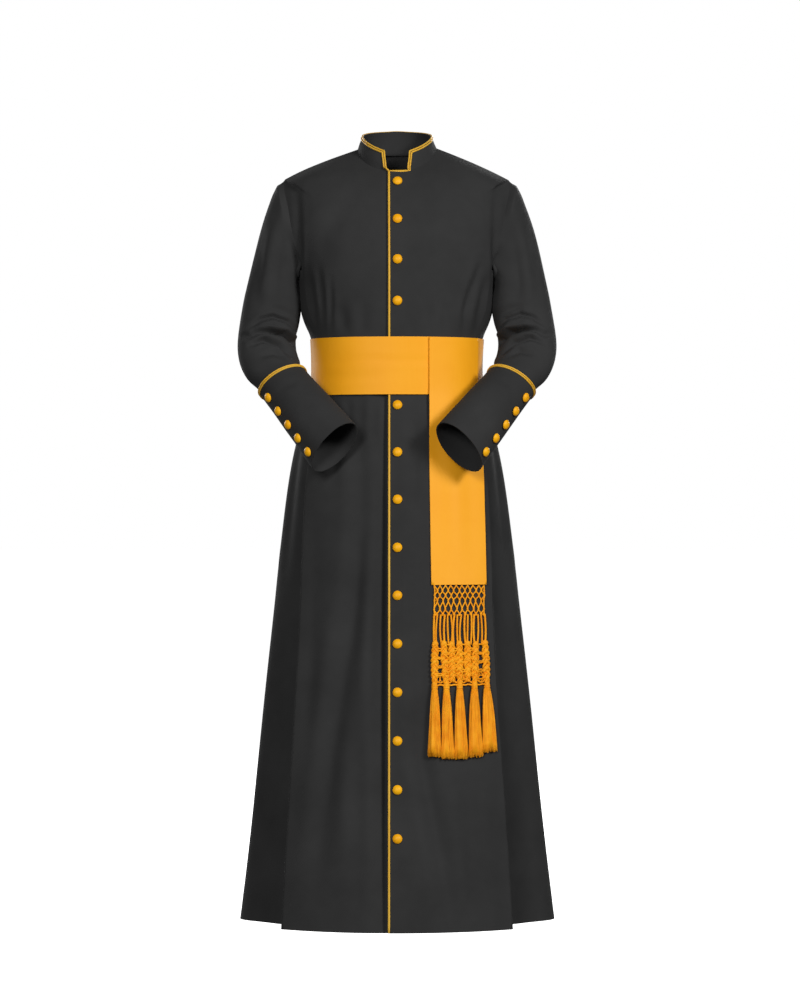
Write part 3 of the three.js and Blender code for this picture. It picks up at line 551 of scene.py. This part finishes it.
# The two axes that a fold's path is measured on: x and height, or y and height.
ACROSS_FRONT = (0, 2)
ACROSS_SIDE = (1, 2)
SEAM_LIMIT = 7 * MM
SEAM_REACH = 14 * MM
PLEAT_OPENS = -440 * MM
PLEAT_CLOSES = -640 * MM
PLEAT_ALLOWANCE = 9 * MM
PLEAT_ALLOWANCE_FORWARD = 12 * MM


def panel_sheet(name, axes, folds):
    """A body panel's outside: the frame's form, smoothed, with its folds."""
    sheet = smooth_sheet(name)
    press_folds(sheet, axes, folds)
    let_hang(sheet, 2.2 * MM, 0.13, 0.6)
    return sheet


def cloth_piece(name, sheet, thickness=CLOTH_THICKNESS, material=SUITING):
    """A piece of cloth on its sheet."""
    return new_piece(name, thicken(name, sheet, thickness), material)


front_left_sheet = panel_sheet("front_left", ACROSS_FRONT, LEFT_FRONT_FOLDS)
front_right_sheet = panel_sheet("front_right", ACROSS_FRONT, RIGHT_FRONT_FOLDS)
back_sheet = panel_sheet("back", ACROSS_FRONT, BACK_FOLDS)
side_left_sheet = panel_sheet("side_left", ACROSS_SIDE, SIDE_FOLDS)
side_right_sheet = panel_sheet("side_right", ACROSS_SIDE, SIDE_FOLDS)
for front_sheet in (front_left_sheet, front_right_sheet):
    sew(front_sheet, [back_sheet], SEAM_LIMIT, SEAM_REACH)
sew(side_left_sheet, [front_left_sheet, back_sheet], SEAM_LIMIT, SEAM_REACH)
sew(side_right_sheet, [front_right_sheet, back_sheet], SEAM_LIMIT, SEAM_REACH)


def is_at_pleat_top(place):
    """Whether a place on a side panel's edge is where the front's pleat opens, below the cincture."""
    return place.y < 0 and PLEAT_CLOSES < place.z < PLEAT_OPENS


for side_sheet, inwards in ((side_left_sheet, -1), (side_right_sheet, 1)):
    turned_in = Vector((inwards * PLEAT_ALLOWANCE, -PLEAT_ALLOWANCE_FORWARD, 0))
    add_seam_allowance(side_sheet, lambda place: turned_in, is_at_pleat_top)
front_left = cloth_piece("front_left", front_left_sheet)
front_right = cloth_piece("front_right", front_right_sheet)
back = cloth_piece("back", back_sheet)
side_left = cloth_piece("side_left", side_left_sheet)
side_right = cloth_piece("side_right", side_right_sheet)

# ---------- sleeves and cuffs ----------
# These are the folds of the wearer's left arm. Those of the right arm are mirrored from them.
SLEEVE_FOLDS = [
    Fold([(276, -336), (256, -321), (232, -315), (207, -325), (190, -348)], 4.2, -8, -1),
    Fold([(270, -340), (245, -330), (215, -334), (190, -356)], 9, 4, -1),
    Fold([(268, -346), (238, -343), (213, -348), (196, -363), (174, -390)], 4, -17, -1),
    Fold([(236, -345), (213, -350), (196, -366), (180, -390)], 8, -6, -1),
    Fold([(276, -370), (251, -360), (222, -369), (188, -398)], 4.2, -9, -1),
    Fold([(258, -392), (230, -386), (203, -396)], 5, -4.5, -1),
    Fold([(294, -352), (278, -354), (258, -347)], 5, -5, -1),
    Fold([(240, -300), (214, -306), (194, -322)], 7, -4, -1),
    Fold([(246, -120), (262, -190), (268, -262), (258, -300)], 13, -4.5, -1),
    Fold([(212, -120), (222, -190), (230, -262), (222, -296)], 11, -4, -1),
    Fold([(232, -92), (238, -150)], 11, -2.5, -1),
    Fold([(214, -330), (250, -352), (286, -392)], 8, -6, 1),
    Fold([(206, -280), (240, -318), (280, -345)], 8, -5, 1),
    Fold([(216, -110), (232, -190), (242, -270)], 12, -4.5, 1),
    Fold([(246, -120), (262, -200)], 11, -3.5, 1),
    Fold([(187, -190), (186, -270), (187, -350)], 22, 13),
]
CUFF_FOLDS = [
    Fold([(226, -456), (200, -446), (184, -440)], 6, -1.8, -1),
    Fold([(178, -500), (150, -520), (126, -548)], 12, -1.5, -1),
]


# The wearer's right arm creases a little lower, and each crease is deeper or shallower in turn.
MIRRORED_DROP = 4
UNEVEN = (1.15, 0.85, 1.0, 0.7)
ARMHOLE_FOOT = -262 * MM
ARMHOLE_LIMIT = 16 * MM
ARMHOLE_REACH = 34 * MM
ARMHOLE_ALLOWANCE = 9 * MM


def mirrored_folds(folds):
    """The same folds for the wearer's right, not quite alike."""
    mirrored = []
    for fold, share in zip(folds, itertools.cycle(UNEVEN)):
        path = [(-across, height - MIRRORED_DROP) for across, height in fold.path]
        mirrored.append(fold._replace(path=path, depth=fold.depth * share))
    return mirrored


def arm_sheet(name, folds):
    """The outside of a sleeve or a cuff."""
    sheet = smooth_sheet(name, is_tube=True)
    press_folds(sheet, ACROSS_FRONT, folds)
    let_hang(sheet, 1.4 * MM, 0.06, 0.12)
    return sheet


def is_at_armhole(place):
    """Whether a place on a sleeve is up at the armhole, and not at the cuff."""
    return place[2] > ARMHOLE_FOOT


def set_sleeve(name, folds, body_sheets):
    """A sleeve, sewn into its armhole."""
    sheet = arm_sheet(name, folds)
    sew(sheet, body_sheets, ARMHOLE_LIMIT, ARMHOLE_REACH, is_at_armhole)
    towards_body = -1 if name.endswith("left") else 1
    turned_in = Vector((towards_body * ARMHOLE_ALLOWANCE, 0, 0))
    add_seam_allowance(sheet, lambda place: turned_in, is_at_armhole)
    return cloth_piece(name, sheet)


sleeve_left = set_sleeve("sleeve_left", SLEEVE_FOLDS, [front_left_sheet, back_sheet, side_left_sheet])
sleeve_right = set_sleeve(
    "sleeve_right", mirrored_folds(SLEEVE_FOLDS), [front_right_sheet, back_sheet, side_right_sheet])
cuff_left_sheet = arm_sheet("cuff_left", CUFF_FOLDS)
cuff_right_sheet = arm_sheet("cuff_right", mirrored_folds(CUFF_FOLDS))
cuff_left = cloth_piece("cuff_left", cuff_left_sheet, DOUBLED_THICKNESS)
cuff_right = cloth_piece("cuff_right", cuff_right_sheet, DOUBLED_THICKNESS)

# ---------- collar ----------
# The neckline is level round the back, in millimetres, and falls faster and faster to the front.
NECK_LEVEL = 3
NECK_FALLS_FROM = 10
NECK_FALL_RUN = 68
NECK_FALL = 47
NECK_MARGIN = 6


def is_at_neckline(place):
    """Whether a place on the collar's edge is at its foot."""
    forward = max(0, -place.y / MM - NECK_FALLS_FROM)
    level = NECK_LEVEL - NECK_FALL * (forward / NECK_FALL_RUN) ** 1.3
    return place.z < (level + NECK_MARGIN) * MM


def down_inside_neck(place):
    """The way that the collar's allowance turns: a little inwards, and down behind the body."""
    inwards = Vector((-place.x, -place.y, 0)).normalized()
    return inwards * 2 * MM + Vector((0, 0, -7 * MM))


collar_sheet = smooth_sheet("collar")
sew(collar_sheet, [front_left_sheet, front_right_sheet, back_sheet], 6 * MM, 12 * MM)
seated_collar = collar_sheet.copy()
add_seam_allowance(seated_collar, down_inside_neck, is_at_neckline)
collar = cloth_piece("collar", seated_collar, COLLAR_THICKNESS)

# ---------- piping ----------
# A place on a sheet's edge, with the directions from it into the cloth and off the cloth.
EdgePlace = namedtuple("EdgePlace", "point inward outward")
CORD_RADIUS = 1.55 * MM
CORD_INSETS = (0.9 * MM, 4.7 * MM)
CORD_LIFT = 1.1 * MM
FRONT_CORD_RADIUS = 2.1 * MM
FRONT_CORD_INSET = 0.6 * MM
FRONT_CORD_LIFT = 0.9 * MM
# Only a cuff's upper edge is piped.
CUFF_PIPED_ABOVE = -500 * MM
# Across the foot of the collar's opening the piping bows forward, and its two cords draw closer.
OPENING_STEPS = 9
OPENING_BOW = Vector((0, -2.6 * MM, -0.6 * MM))
OPENING_INWARD = Vector((0, 0.3, -1)).normalized() * 0.4
OPENING_OUTWARD = Vector((0, -1, 0.3))


def edge_place(vertex):
    """Where a vertex on a sheet's edge is, and which way the cloth lies from it."""
    middle = sum((f.calc_center_median() for f in vertex.link_faces), Vector()) / len(vertex.link_faces)
    rims = [e.other_vert(vertex).co for e in vertex.link_edges if e.is_boundary]
    along = (rims[0] - rims[-1]).normalized()
    inward = middle - vertex.co
    inward = (inward - along * inward.dot(along)).normalized()
    return EdgePlace(vertex.co.copy(), inward, vertex.normal.copy())


def edge_places(mesh, wanted):
    """The wanted places along a sheet's edge, in order, and whether they close into a ring."""
    bm = bmesh.new()
    bm.from_mesh(mesh)
    bm.normal_update()
    places = {v: edge_place(v) for v in bm.verts if v.is_boundary}
    kept = {v for v, place in places.items() if wanted(place)}
    neighbours = {}
    for vertex in kept:
        others = [e.other_vert(vertex) for e in vertex.link_edges if e.is_boundary]
        neighbours[vertex] = [v for v in others if v in kept]
    ends = [v for v, near in neighbours.items() if len(near) == 1]
    current = max(ends or kept, key=lambda v: v.co.x + v.co.z)
    chain = {current: places[current]}
    while onward := [v for v in neighbours[current] if v not in chain]:
        current = onward[0]
        chain[current] = places[current]
    bm.free()
    return list(chain.values()), not ends


def cord_beside(places, inset, lift):
    """A cord's centre line, this far in from an edge and this far off the cloth."""
    return [place.point + place.inward * inset + place.outward * lift for place in places]


def piping(name, places, closed=False, insets=CORD_INSETS, lift=CORD_LIFT, radius=CORD_RADIUS):
    """Cords along an edge: two side by side, unless told otherwise."""
    bm = bmesh.new()
    for inset in insets:
        tube(bm, cord_beside(places, inset, lift), radius, 8, closed)
    return new_piece(name, mesh_from(bm, name), PIPING_SATIN)


def collar_places():
    """Down one side of the opening, round the top, down the other side and across the opening's foot."""
    top, _ = edge_places(collar_sheet, lambda place: place.inward.z < 0.45)
    foot = []
    for k in range(1, OPENING_STEPS):
        share = k / OPENING_STEPS
        point = top[-1].point.lerp(top[0].point, share) + OPENING_BOW * math.sin(math.pi * share)
        foot.append(EdgePlace(point, OPENING_INWARD, OPENING_OUTWARD))
    return top + foot


piping("piping_collar", collar_places(), closed=True)
closing_edge, _ = edge_places(
    front_left_sheet, lambda place: place.point.x < -10 * MM and place.inward.x > 0.6)
piping("piping_front", closing_edge, False, [FRONT_CORD_INSET], FRONT_CORD_LIFT, FRONT_CORD_RADIUS)
for side, sheet in (("left", cuff_left_sheet), ("right", cuff_right_sheet)):
    ring, is_closed = edge_places(sheet, lambda place: place.point.z > CUFF_PIPED_ABOVE)
    piping(f"piping_cuff_{side}", ring, is_closed)

# ---------- buttons ----------
BUTTON_STEPS = 24
# How far a button's back sinks into the nap of the cloth that it is sewn to.
BUTTON_SINK = 0.6 * MM
# A button's outline from its back to the crown: share of its radius, share of its height.
BUTTON_OUTLINE = [
    (0.0, 0.0), (0.55, 0.0), (0.84, 0.02), (0.96, 0.1), (1.0, 0.22), (0.985, 0.36), (0.93, 0.47),
    (0.86, 0.56), (0.74, 0.7), (0.58, 0.83), (0.4, 0.93), (0.2, 0.985), (0.0, 1.0),
]


def middle_behind(node, height):
    """A point well inside the cuff or the body that a button is sewn to."""
    for side in ("left", "right"):
        if side in node:
            low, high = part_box(f"cuff_{side}")
            return (Vector(low) + Vector(high)) / 2
    return Vector((0, 0, height))


def covered_button(node):
    """A domed button covered in satin, where its frame solid is and facing as it does."""
    places = np.array([v.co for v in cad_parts[node].data.vertices])
    middle = places.mean(axis=0)
    # A button is thinnest the way that it faces.
    _, directions = np.linalg.eigh(np.cov((places - middle).T))
    facing = Vector(directions[:, 0])
    if facing.dot(Vector(middle) - middle_behind(node, middle[2])) < 0:
        facing = -facing
    heights = (places - middle) @ np.array(facing)
    radius = np.linalg.norm(places - middle - np.outer(heights, np.array(facing)), axis=1).max()
    base = Vector(middle) + facing * (heights.min() - BUTTON_SINK)
    height = heights.max() - heights.min() + BUTTON_SINK
    side = facing.orthogonal().normalized()
    up = facing.cross(side)
    turns = [2 * math.pi * k / BUTTON_STEPS for k in range(BUTTON_STEPS)]
    bm = bmesh.new()
    rings = []
    for out, rise in BUTTON_OUTLINE:
        centre = base + facing * height * rise
        spokes = [side * math.cos(turn) + up * math.sin(turn) for turn in turns]
        rings.append([bm.verts.new(centre + spoke * radius * out) for spoke in spokes])
    for low, high in zip(rings, rings[1:]):
        for k in range(BUTTON_STEPS):
            after = (k + 1) % BUTTON_STEPS
            bm.faces.new((low[k], low[after], high[after], high[k]))
    # The first and last rings have no width, and close to a point.
    bmesh.ops.remove_doubles(bm, verts=rings[0] + rings[-1], dist=WELD)
    return new_piece(node, mesh_from(bm, node), BUTTON_SATIN)


for node in sorted(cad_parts):
    if "button" in node:
        covered_button(node)

# ---------- cincture ----------
BAND_FOLDS = [
    Fold([(-150, -404), (-60, -402), (40, -405), (150, -402)], 5, -0.7),
    Fold([(-160, -432), (-90, -436), (-20, -434)], 7, -0.6),
]
FALL_FOLDS = [
    Fold([(70, -474), (78, -640), (74, -815)], 14, -1.2),
    Fold([(128, -480), (134, -640), (136, -815)], 15, -1.5),
]
# Below the band the fall swings outwards a little by its end.
FALL_FREE = -468 * MM
FALL_END = -822 * MM
FALL_SLANT = 5.5 * MM

band_sheet = smooth_sheet("cincture_band", is_tube=True)
press_folds(band_sheet, ACROSS_FRONT, BAND_FOLDS)
let_hang(band_sheet, 0.8 * MM, 0.05, 0.08)
band = cloth_piece("cincture_band", band_sheet, DOUBLED_THICKNESS, SASH_SATIN)
fall_sheet = smooth_sheet("cincture_fall")
press_folds(fall_sheet, ACROSS_FRONT, FALL_FOLDS)
for vertex in fall_sheet.vertices:
    hung = max(0, FALL_FREE - vertex.co.z) / (FALL_FREE - FALL_END)
    vertex.co.x += FALL_SLANT * hung
let_hang(fall_sheet, 1.2 * MM, 0.07, 0.25)
fall = cloth_piece("cincture_fall", fall_sheet, DOUBLED_THICKNESS, SASH_SATIN)

# ---------- fringe ----------
# Places and sizes of the fringe are in millimetres: across, height, and lift off the skirt.
NET_LEFT = 69.3
NET_RIGHT = 162.2
NET_COLUMNS = 9
NET_LEVELS = [-822, -833, -842, -851, -867.5, -877]
NET_PITCH = (NET_RIGHT - NET_LEFT) / NET_COLUMNS
NET_LIFT = 2.6
NET_CORD = 1.35
NET_KNOT = 2.1
NET_LAST_KNOT = 2.9
FREE_CORDS = 16
KNOT_TOP = -929
KNOT_BOTTOM = -1006
LACED_LEFT = 64
LACED_RIGHT = 170
TASSEL_THREADS = 110
TASSEL_THREAD = 0.85
TASSEL_NECK = -1005
KnottedColumn = namedtuple("KnottedColumn", "top foot end")
KNOTTED_COLUMNS = [
    KnottedColumn(70.5, 69, KNOT_BOTTOM),
    KnottedColumn(86.5, 91, KNOT_BOTTOM),
    KnottedColumn(101, 103, KNOT_BOTTOM + 5),
    KnottedColumn(115.5, 116, KNOT_BOTTOM),
    KnottedColumn(130.5, 131, KNOT_BOTTOM + 5),
    KnottedColumn(146, 144, KNOT_BOTTOM),
    KnottedColumn(163.5, 167.5, KNOT_BOTTOM),
]
COLUMN_KNOTS = (-946, -963, -980)
CROSSING_ROWS = (-938, -945, -953, -961, -969, -977, -984, -991)
Tassel = namedtuple("Tassel", "top foot radius bottom")
TASSELS = [
    Tassel(69.5, 69.5, 12.4, -1135),
    Tassel(91.5, 94, 12, -1139),
    Tassel(116, 119, 13, -1140),
    Tassel(143.5, 146, 13.6, -1137),
    Tassel(167, 173, 14, -1129),
]
# A tassel's bound neck: the height and radius of each turn of its binding.
BINDINGS = ((-1006, 5.6), (-1010.5, 6.2), (-1015, 5.2))

chance = random.Random(7)
skirt = bmesh.new()
skirt.from_mesh(front_left_sheet)
SKIRT = BVHTree.FromBMesh(skirt)
skirt.free()


def over_skirt(across, height, lift):
    """The point this far off the skirt, at a place given in millimetres across and up."""
    hit, _, _, _ = SKIRT.ray_cast(Vector((across * MM, -1, height * MM)), Vector((0, 1, 0)))
    return hit + Vector((0, -lift * MM, 0))


def wander(amount):
    """A small uneven distance."""
    return chance.uniform(-amount, amount)


def shares(steps):
    """Even steps from 0 to 1."""
    return [step / steps for step in range(steps + 1)]


def between(start, end, share):
    """The number this share of the way from one to another."""
    return start + (end - start) * share


def bead(bm, centre, radius, squash=0.8):
    """A knot: a small rounded lump, flatter from front to back."""
    made = bmesh.ops.create_uvsphere(bm, u_segments=10, v_segments=7, radius=radius * MM)
    for vertex in made["verts"]:
        vertex.co = Vector((vertex.co.x, vertex.co.y * squash, vertex.co.z)) + centre


def thread_piece(name, bm):
    """A piece of fringe thread."""
    return new_piece(name, mesh_from(bm, name), FRINGE_RAYON)


Crossing = namedtuple("Crossing", "even across height")


def net_crossings():
    """Where the net's cords cross, level by level: half a diamond over on every second level,
    and each a little off its even place."""
    levels = []
    for level, height in enumerate(NET_LEVELS):
        if level % 2 == 0:
            evens = [NET_LEFT + NET_PITCH * k for k in range(NET_COLUMNS + 1)]
        else:
            inner = [NET_LEFT + NET_PITCH * (k + 0.5) for k in range(NET_COLUMNS)]
            evens = [NET_LEFT, *inner, NET_RIGHT]
        crossings = []
        for even in evens:
            aside = wander(0.8)
            raised = wander(0.7)
            crossings.append(Crossing(even, even + aside, height + raised if level else height))
        levels.append(crossings)
    return levels


def net_cord(bm, start, end):
    """A cord from one crossing to another, in a slight S."""
    line = []
    for share in shares(7):
        across = between(start.across, end.across, share * share * (3 - 2 * share))
        line.append(over_skirt(across, between(start.height, end.height, share), NET_LIFT))
    tube(bm, line, NET_CORD * MM, 7)


def fringe_net():
    """A knotted heading: cords cross in rows of diamonds, and the fourth row is tall ovals."""
    bm = bmesh.new()
    levels = net_crossings()
    for upper, lower in itertools.pairwise(levels):
        for start, end in itertools.product(upper, lower):
            if abs(end.even - start.even) < NET_PITCH * 0.51:
                net_cord(bm, start, end)
    for crossing in itertools.chain(*levels[1:-1]):
        bead(bm, over_skirt(crossing.across, crossing.height, NET_LIFT + 0.3), NET_KNOT)
    for crossing in levels[-1]:
        bead(bm, over_skirt(crossing.across, crossing.height, NET_LIFT + 0.4), NET_LAST_KNOT)
    return thread_piece("fringe_net", bm)


def fringe_cords():
    """The cords hang free from the net to the knotted band, two or three to each knotted column."""
    bm = bmesh.new()
    last = FREE_CORDS - 1
    for k in range(FREE_CORDS):
        start = NET_LEFT + (NET_RIGHT - NET_LEFT) * k / last + wander(0.8)
        column = KNOTTED_COLUMNS[round(k * (len(KNOTTED_COLUMNS) - 1) / last)]
        end = 0.72 * start + 0.28 * column.top + wander(1)
        bow = wander(2.2)
        lift = 2.4 + (k % 2) * 1.6
        line = []
        for share in shares(11):
            across = between(start, end, share) + bow * math.sin(math.pi * share)
            line.append(over_skirt(across, between(NET_LEVELS[-1], KNOT_TOP - 4, share), lift))
        tube(bm, line, (1.75 + 0.25 * (k % 3 == 0)) * MM)
    return thread_piece("fringe_cords", bm)


def plait(bm, top, foot, width, turns, strand, high, low, lift):
    """A plait of three strands between two heights."""
    for phase in range(3):
        line = []
        for share in shares(60):
            turn = 2 * math.pi * (turns * share + phase / 3)
            swell = 0.55 + 0.45 * math.sin(math.pi * min(1, share * 1.15)) ** 0.5
            across = between(top, foot, share) + width * swell * math.sin(turn)
            line.append(over_skirt(across, between(high, low, share), lift + 1.6 * math.sin(2 * turn)))
        tube(bm, line, strand * MM)


def knotted_column(bm, column):
    """Two plaits that turn opposite ways round each other, with knots down the middle."""
    top, foot, end = column
    bead(bm, over_skirt(top, KNOT_TOP - 3 + wander(2), 4.6), 6.2, 0.62)
    plait(bm, top, foot, 5.6, 2.6 + wander(0.25), 2.3, KNOT_TOP - 2, end, 4.8)
    plait(bm, top + wander(1), foot, 3.4, -3.4 + wander(0.3), 1.7, KNOT_TOP - 6, end + 2, 3.6)
    for height in COLUMN_KNOTS:
        bead(bm, over_skirt(between(top, foot, 0.5) + wander(0.8), height + wander(3), 5), 5, 0.62)


def crossing_cord(bm, left, right, height, way):
    """A cord that swings from one column to the next, bowed up or down."""
    line = []
    for share in shares(12):
        turn = math.pi * share
        across = between(left.top, right.top, 0.5 - 0.5 * math.cos(turn)) + wander(0.2)
        up = height + 5.5 * math.sin(turn) * way + wander(0.3)
        line.append(over_skirt(across, up, 4.2 + 2 * math.sin(turn)))
    tube(bm, line, 1.5 * MM, 7)


def loop(bm, across, height, width, tall, uneven, lift, steps, cord, sides):
    """An upright loop of cord that starts and ends at its top."""
    line = []
    for share in shares(steps):
        turn = 2 * math.pi * share
        up = height + tall * math.cos(turn) + wander(uneven)
        line.append(over_skirt(across + width * math.sin(turn), up, lift))
    tube(bm, line, cord * MM, sides)


def fringe_knots():
    """Knotted columns side by side, joined by crossing cords and loops, and a cord laced along the foot."""
    bm = bmesh.new()
    for column in KNOTTED_COLUMNS:
        knotted_column(bm, column)
    for k, (left, right) in enumerate(itertools.pairwise(KNOTTED_COLUMNS)):
        for row, height in enumerate(CROSSING_ROWS):
            crossing_cord(bm, left, right, height, 1 if (row + k) % 2 else -1)
        apart = right.foot - left.foot
        loop(bm, left.foot + 0.5 * apart, -996, 0.3 * apart, 6.5, 0.3, 4.5, 16, 1.3, 7)
    lacing = [
        over_skirt(between(LACED_LEFT, LACED_RIGHT, share), -1006.5 + 0.7 * math.sin(51 * share), 4.2)
        for share in shares(30)
    ]
    tube(bm, lacing, 1.7 * MM)
    hanging = 2 * len(KNOTTED_COLUMNS) - 3
    for k in range(hanging):
        share = (k + 0.6) / hanging
        across = between(KNOTTED_COLUMNS[0].foot, KNOTTED_COLUMNS[-1].foot, share) + wander(1)
        loop(bm, across, -993, 4.2, 8.5, 0.4, 3.4, 14, 1.15, 6)
    return thread_piece("fringe_knots", bm)


def tassel_neck(bm, across):
    """Three knots, one under another, each bound round with cord."""
    for k, (height, radius) in enumerate(BINDINGS):
        bead(bm, over_skirt(across, height, 5.2), radius, 0.75)
        ring = []
        for step in range(16):
            turn = 2 * math.pi * step / 16
            place = over_skirt(across, height - 2 + wander(0.1), 5.2)
            ring.append(place + Vector((5 * math.cos(turn), 3.9 * math.sin(turn), 0.4 * k)) * MM)
        tube(bm, ring, 1.15 * MM, 6, closed=True)


def tassel(node, top, foot, radius, bottom):
    """A bound neck and a skirt of threads that spreads as it hangs, round a soft core."""
    bm = bmesh.new()
    tassel_neck(bm, top)
    core = [
        over_skirt(between(top, foot, share), between(TASSEL_NECK - 8, bottom + 5, share), 5.4)
        for share in shares(8)
    ]
    sizes = [radius * (0.36 + 0.5 * share ** 0.8) * MM for share in shares(8)]
    tube(bm, core, sizes, 12, squash=0.45)
    for k in range(TASSEL_THREADS):
        turn = 2 * math.pi * k / GOLDEN
        out = math.sqrt(0.35 + 0.65 * (k + 0.5) / TASSEL_THREADS)
        end = bottom + wander(3.2)
        sway = wander(1.3)
        line = []
        for share in shares(8):
            spread = radius * (0.4 + 0.6 * share ** 0.75)
            across = between(top, foot, share) + spread * out * math.cos(turn)
            across += sway * math.sin(math.pi * share * 1.3)
            lift = 5.6 + min(spread, 6.4) * out * 0.85 * math.sin(turn)
            line.append(over_skirt(across, between(TASSEL_NECK - 9, end, share), max(1.2, lift)))
        tube(bm, line, TASSEL_THREAD * MM, 5)
    return thread_piece(node, bm)


net = fringe_net()
cords = fringe_cords()
knots = fringe_knots()
tassels = [tassel(f"tassel_{k}", *row) for k, row in enumerate(TASSELS, 1)]

# ---------- the record of a cloth cut ---
# flat: each piece's cut, width and length; area: what is left of that once its shape is cut out.
Cut = namedtuple("Cut", "piece flat area held")


# ---------- stage, light and camera ----------
FLOOR_REACH = 60.0
TENT_GLOW = 0.1
CAMERA_AWAY = 7.0
CAMERA_VIEW_HEIGHT = 1.9
CAMERA_PLACE = (0.0057, -CAMERA_AWAY, -0.665)
SENSOR = 36


def stage_floor(height):
    """A plain pale floor under the wearer's feet, wide enough to have no edge in view."""
    bm = bmesh.new()
    bmesh.ops.create_grid(bm, x_segments=1, y_segments=1, size=FLOOR_REACH)
    mesh = bpy.data.meshes.new("studio_floor")
    bm.to_mesh(mesh)
    bm.free()
    mesh.materials.append(studio_paper())
    floor = bpy.data.objects.new("studio_floor", mesh)
    floor.location.z = height
    bpy.context.scene.collection.objects.link(floor)
    # It throws no light back on the cloth.
    floor.visible_diffuse = False
    floor.visible_glossy = False


def softbox(name, place, aim, size, power):
    """A large square light that the camera doesn't see."""
    light = bpy.data.lights.new(name, "AREA")
    light.shape = "SQUARE"
    light.size = size
    light.energy = power
    lamp = bpy.data.objects.new(name, light)
    lamp.location = place
    lamp.rotation_euler = (Vector(aim) - Vector(place)).to_track_quat("-Z", "Y").to_euler()
    lamp.visible_camera = False
    bpy.context.scene.collection.objects.link(lamp)


def studio_world():
    """A light tent: its walls look white, and give a dim, even light."""
    world = bpy.data.worlds.new("light_tent")
    world.use_nodes = True
    tree = world.node_tree
    tree.nodes.clear()
    seen = add_node(tree, "ShaderNodeLightPath").outputs["Is Camera Ray"]
    glow = add_node(tree, "ShaderNodeBackground", {"Color": (1, 1, 1, 1), "Strength": TENT_GLOW})
    wall = add_node(tree, "ShaderNodeBackground", {"Color": (1, 1, 1, 1), "Strength": 1.0})
    tent = add_node(tree, "ShaderNodeMixShader", {
        0: seen, 1: glow.outputs["Background"], 2: wall.outputs["Background"]})
    add_node(tree, "ShaderNodeOutputWorld", {"Surface": tent.outputs["Shader"]})
    bpy.context.scene.world = world


low, high = (Vector(corner) for corner in cad_bounds)
middle = (low + high) / 2
stage_floor(low.z - FLOOR_BELOW_HEM)
studio_world()
softbox("key_softbox", (3.7, -4.4, 1.7), middle, 1.3, 212)
softbox("front_softbox", (-1.5, -5.8, 0.9), middle, 1.5, 172)
softbox("back_left_softbox", (2.4, 5.2, 1.4), middle, 2.4, 190)
softbox("back_right_softbox", (-3.4, 4.4, 1.0), middle, 2.4, 120)

camera_data = bpy.data.cameras.new("camera")
camera_data.sensor_width = SENSOR
camera_data.lens = SENSOR * CAMERA_AWAY / CAMERA_VIEW_HEIGHT
camera = bpy.data.objects.new("camera", camera_data)
camera.location = CAMERA_PLACE
camera.rotation_euler = (math.radians(90), 0, 0)
bpy.context.scene.collection.objects.link(camera)
bpy.context.scene.camera = camera
bpy.context.scene.view_settings.view_transform = "Standard"
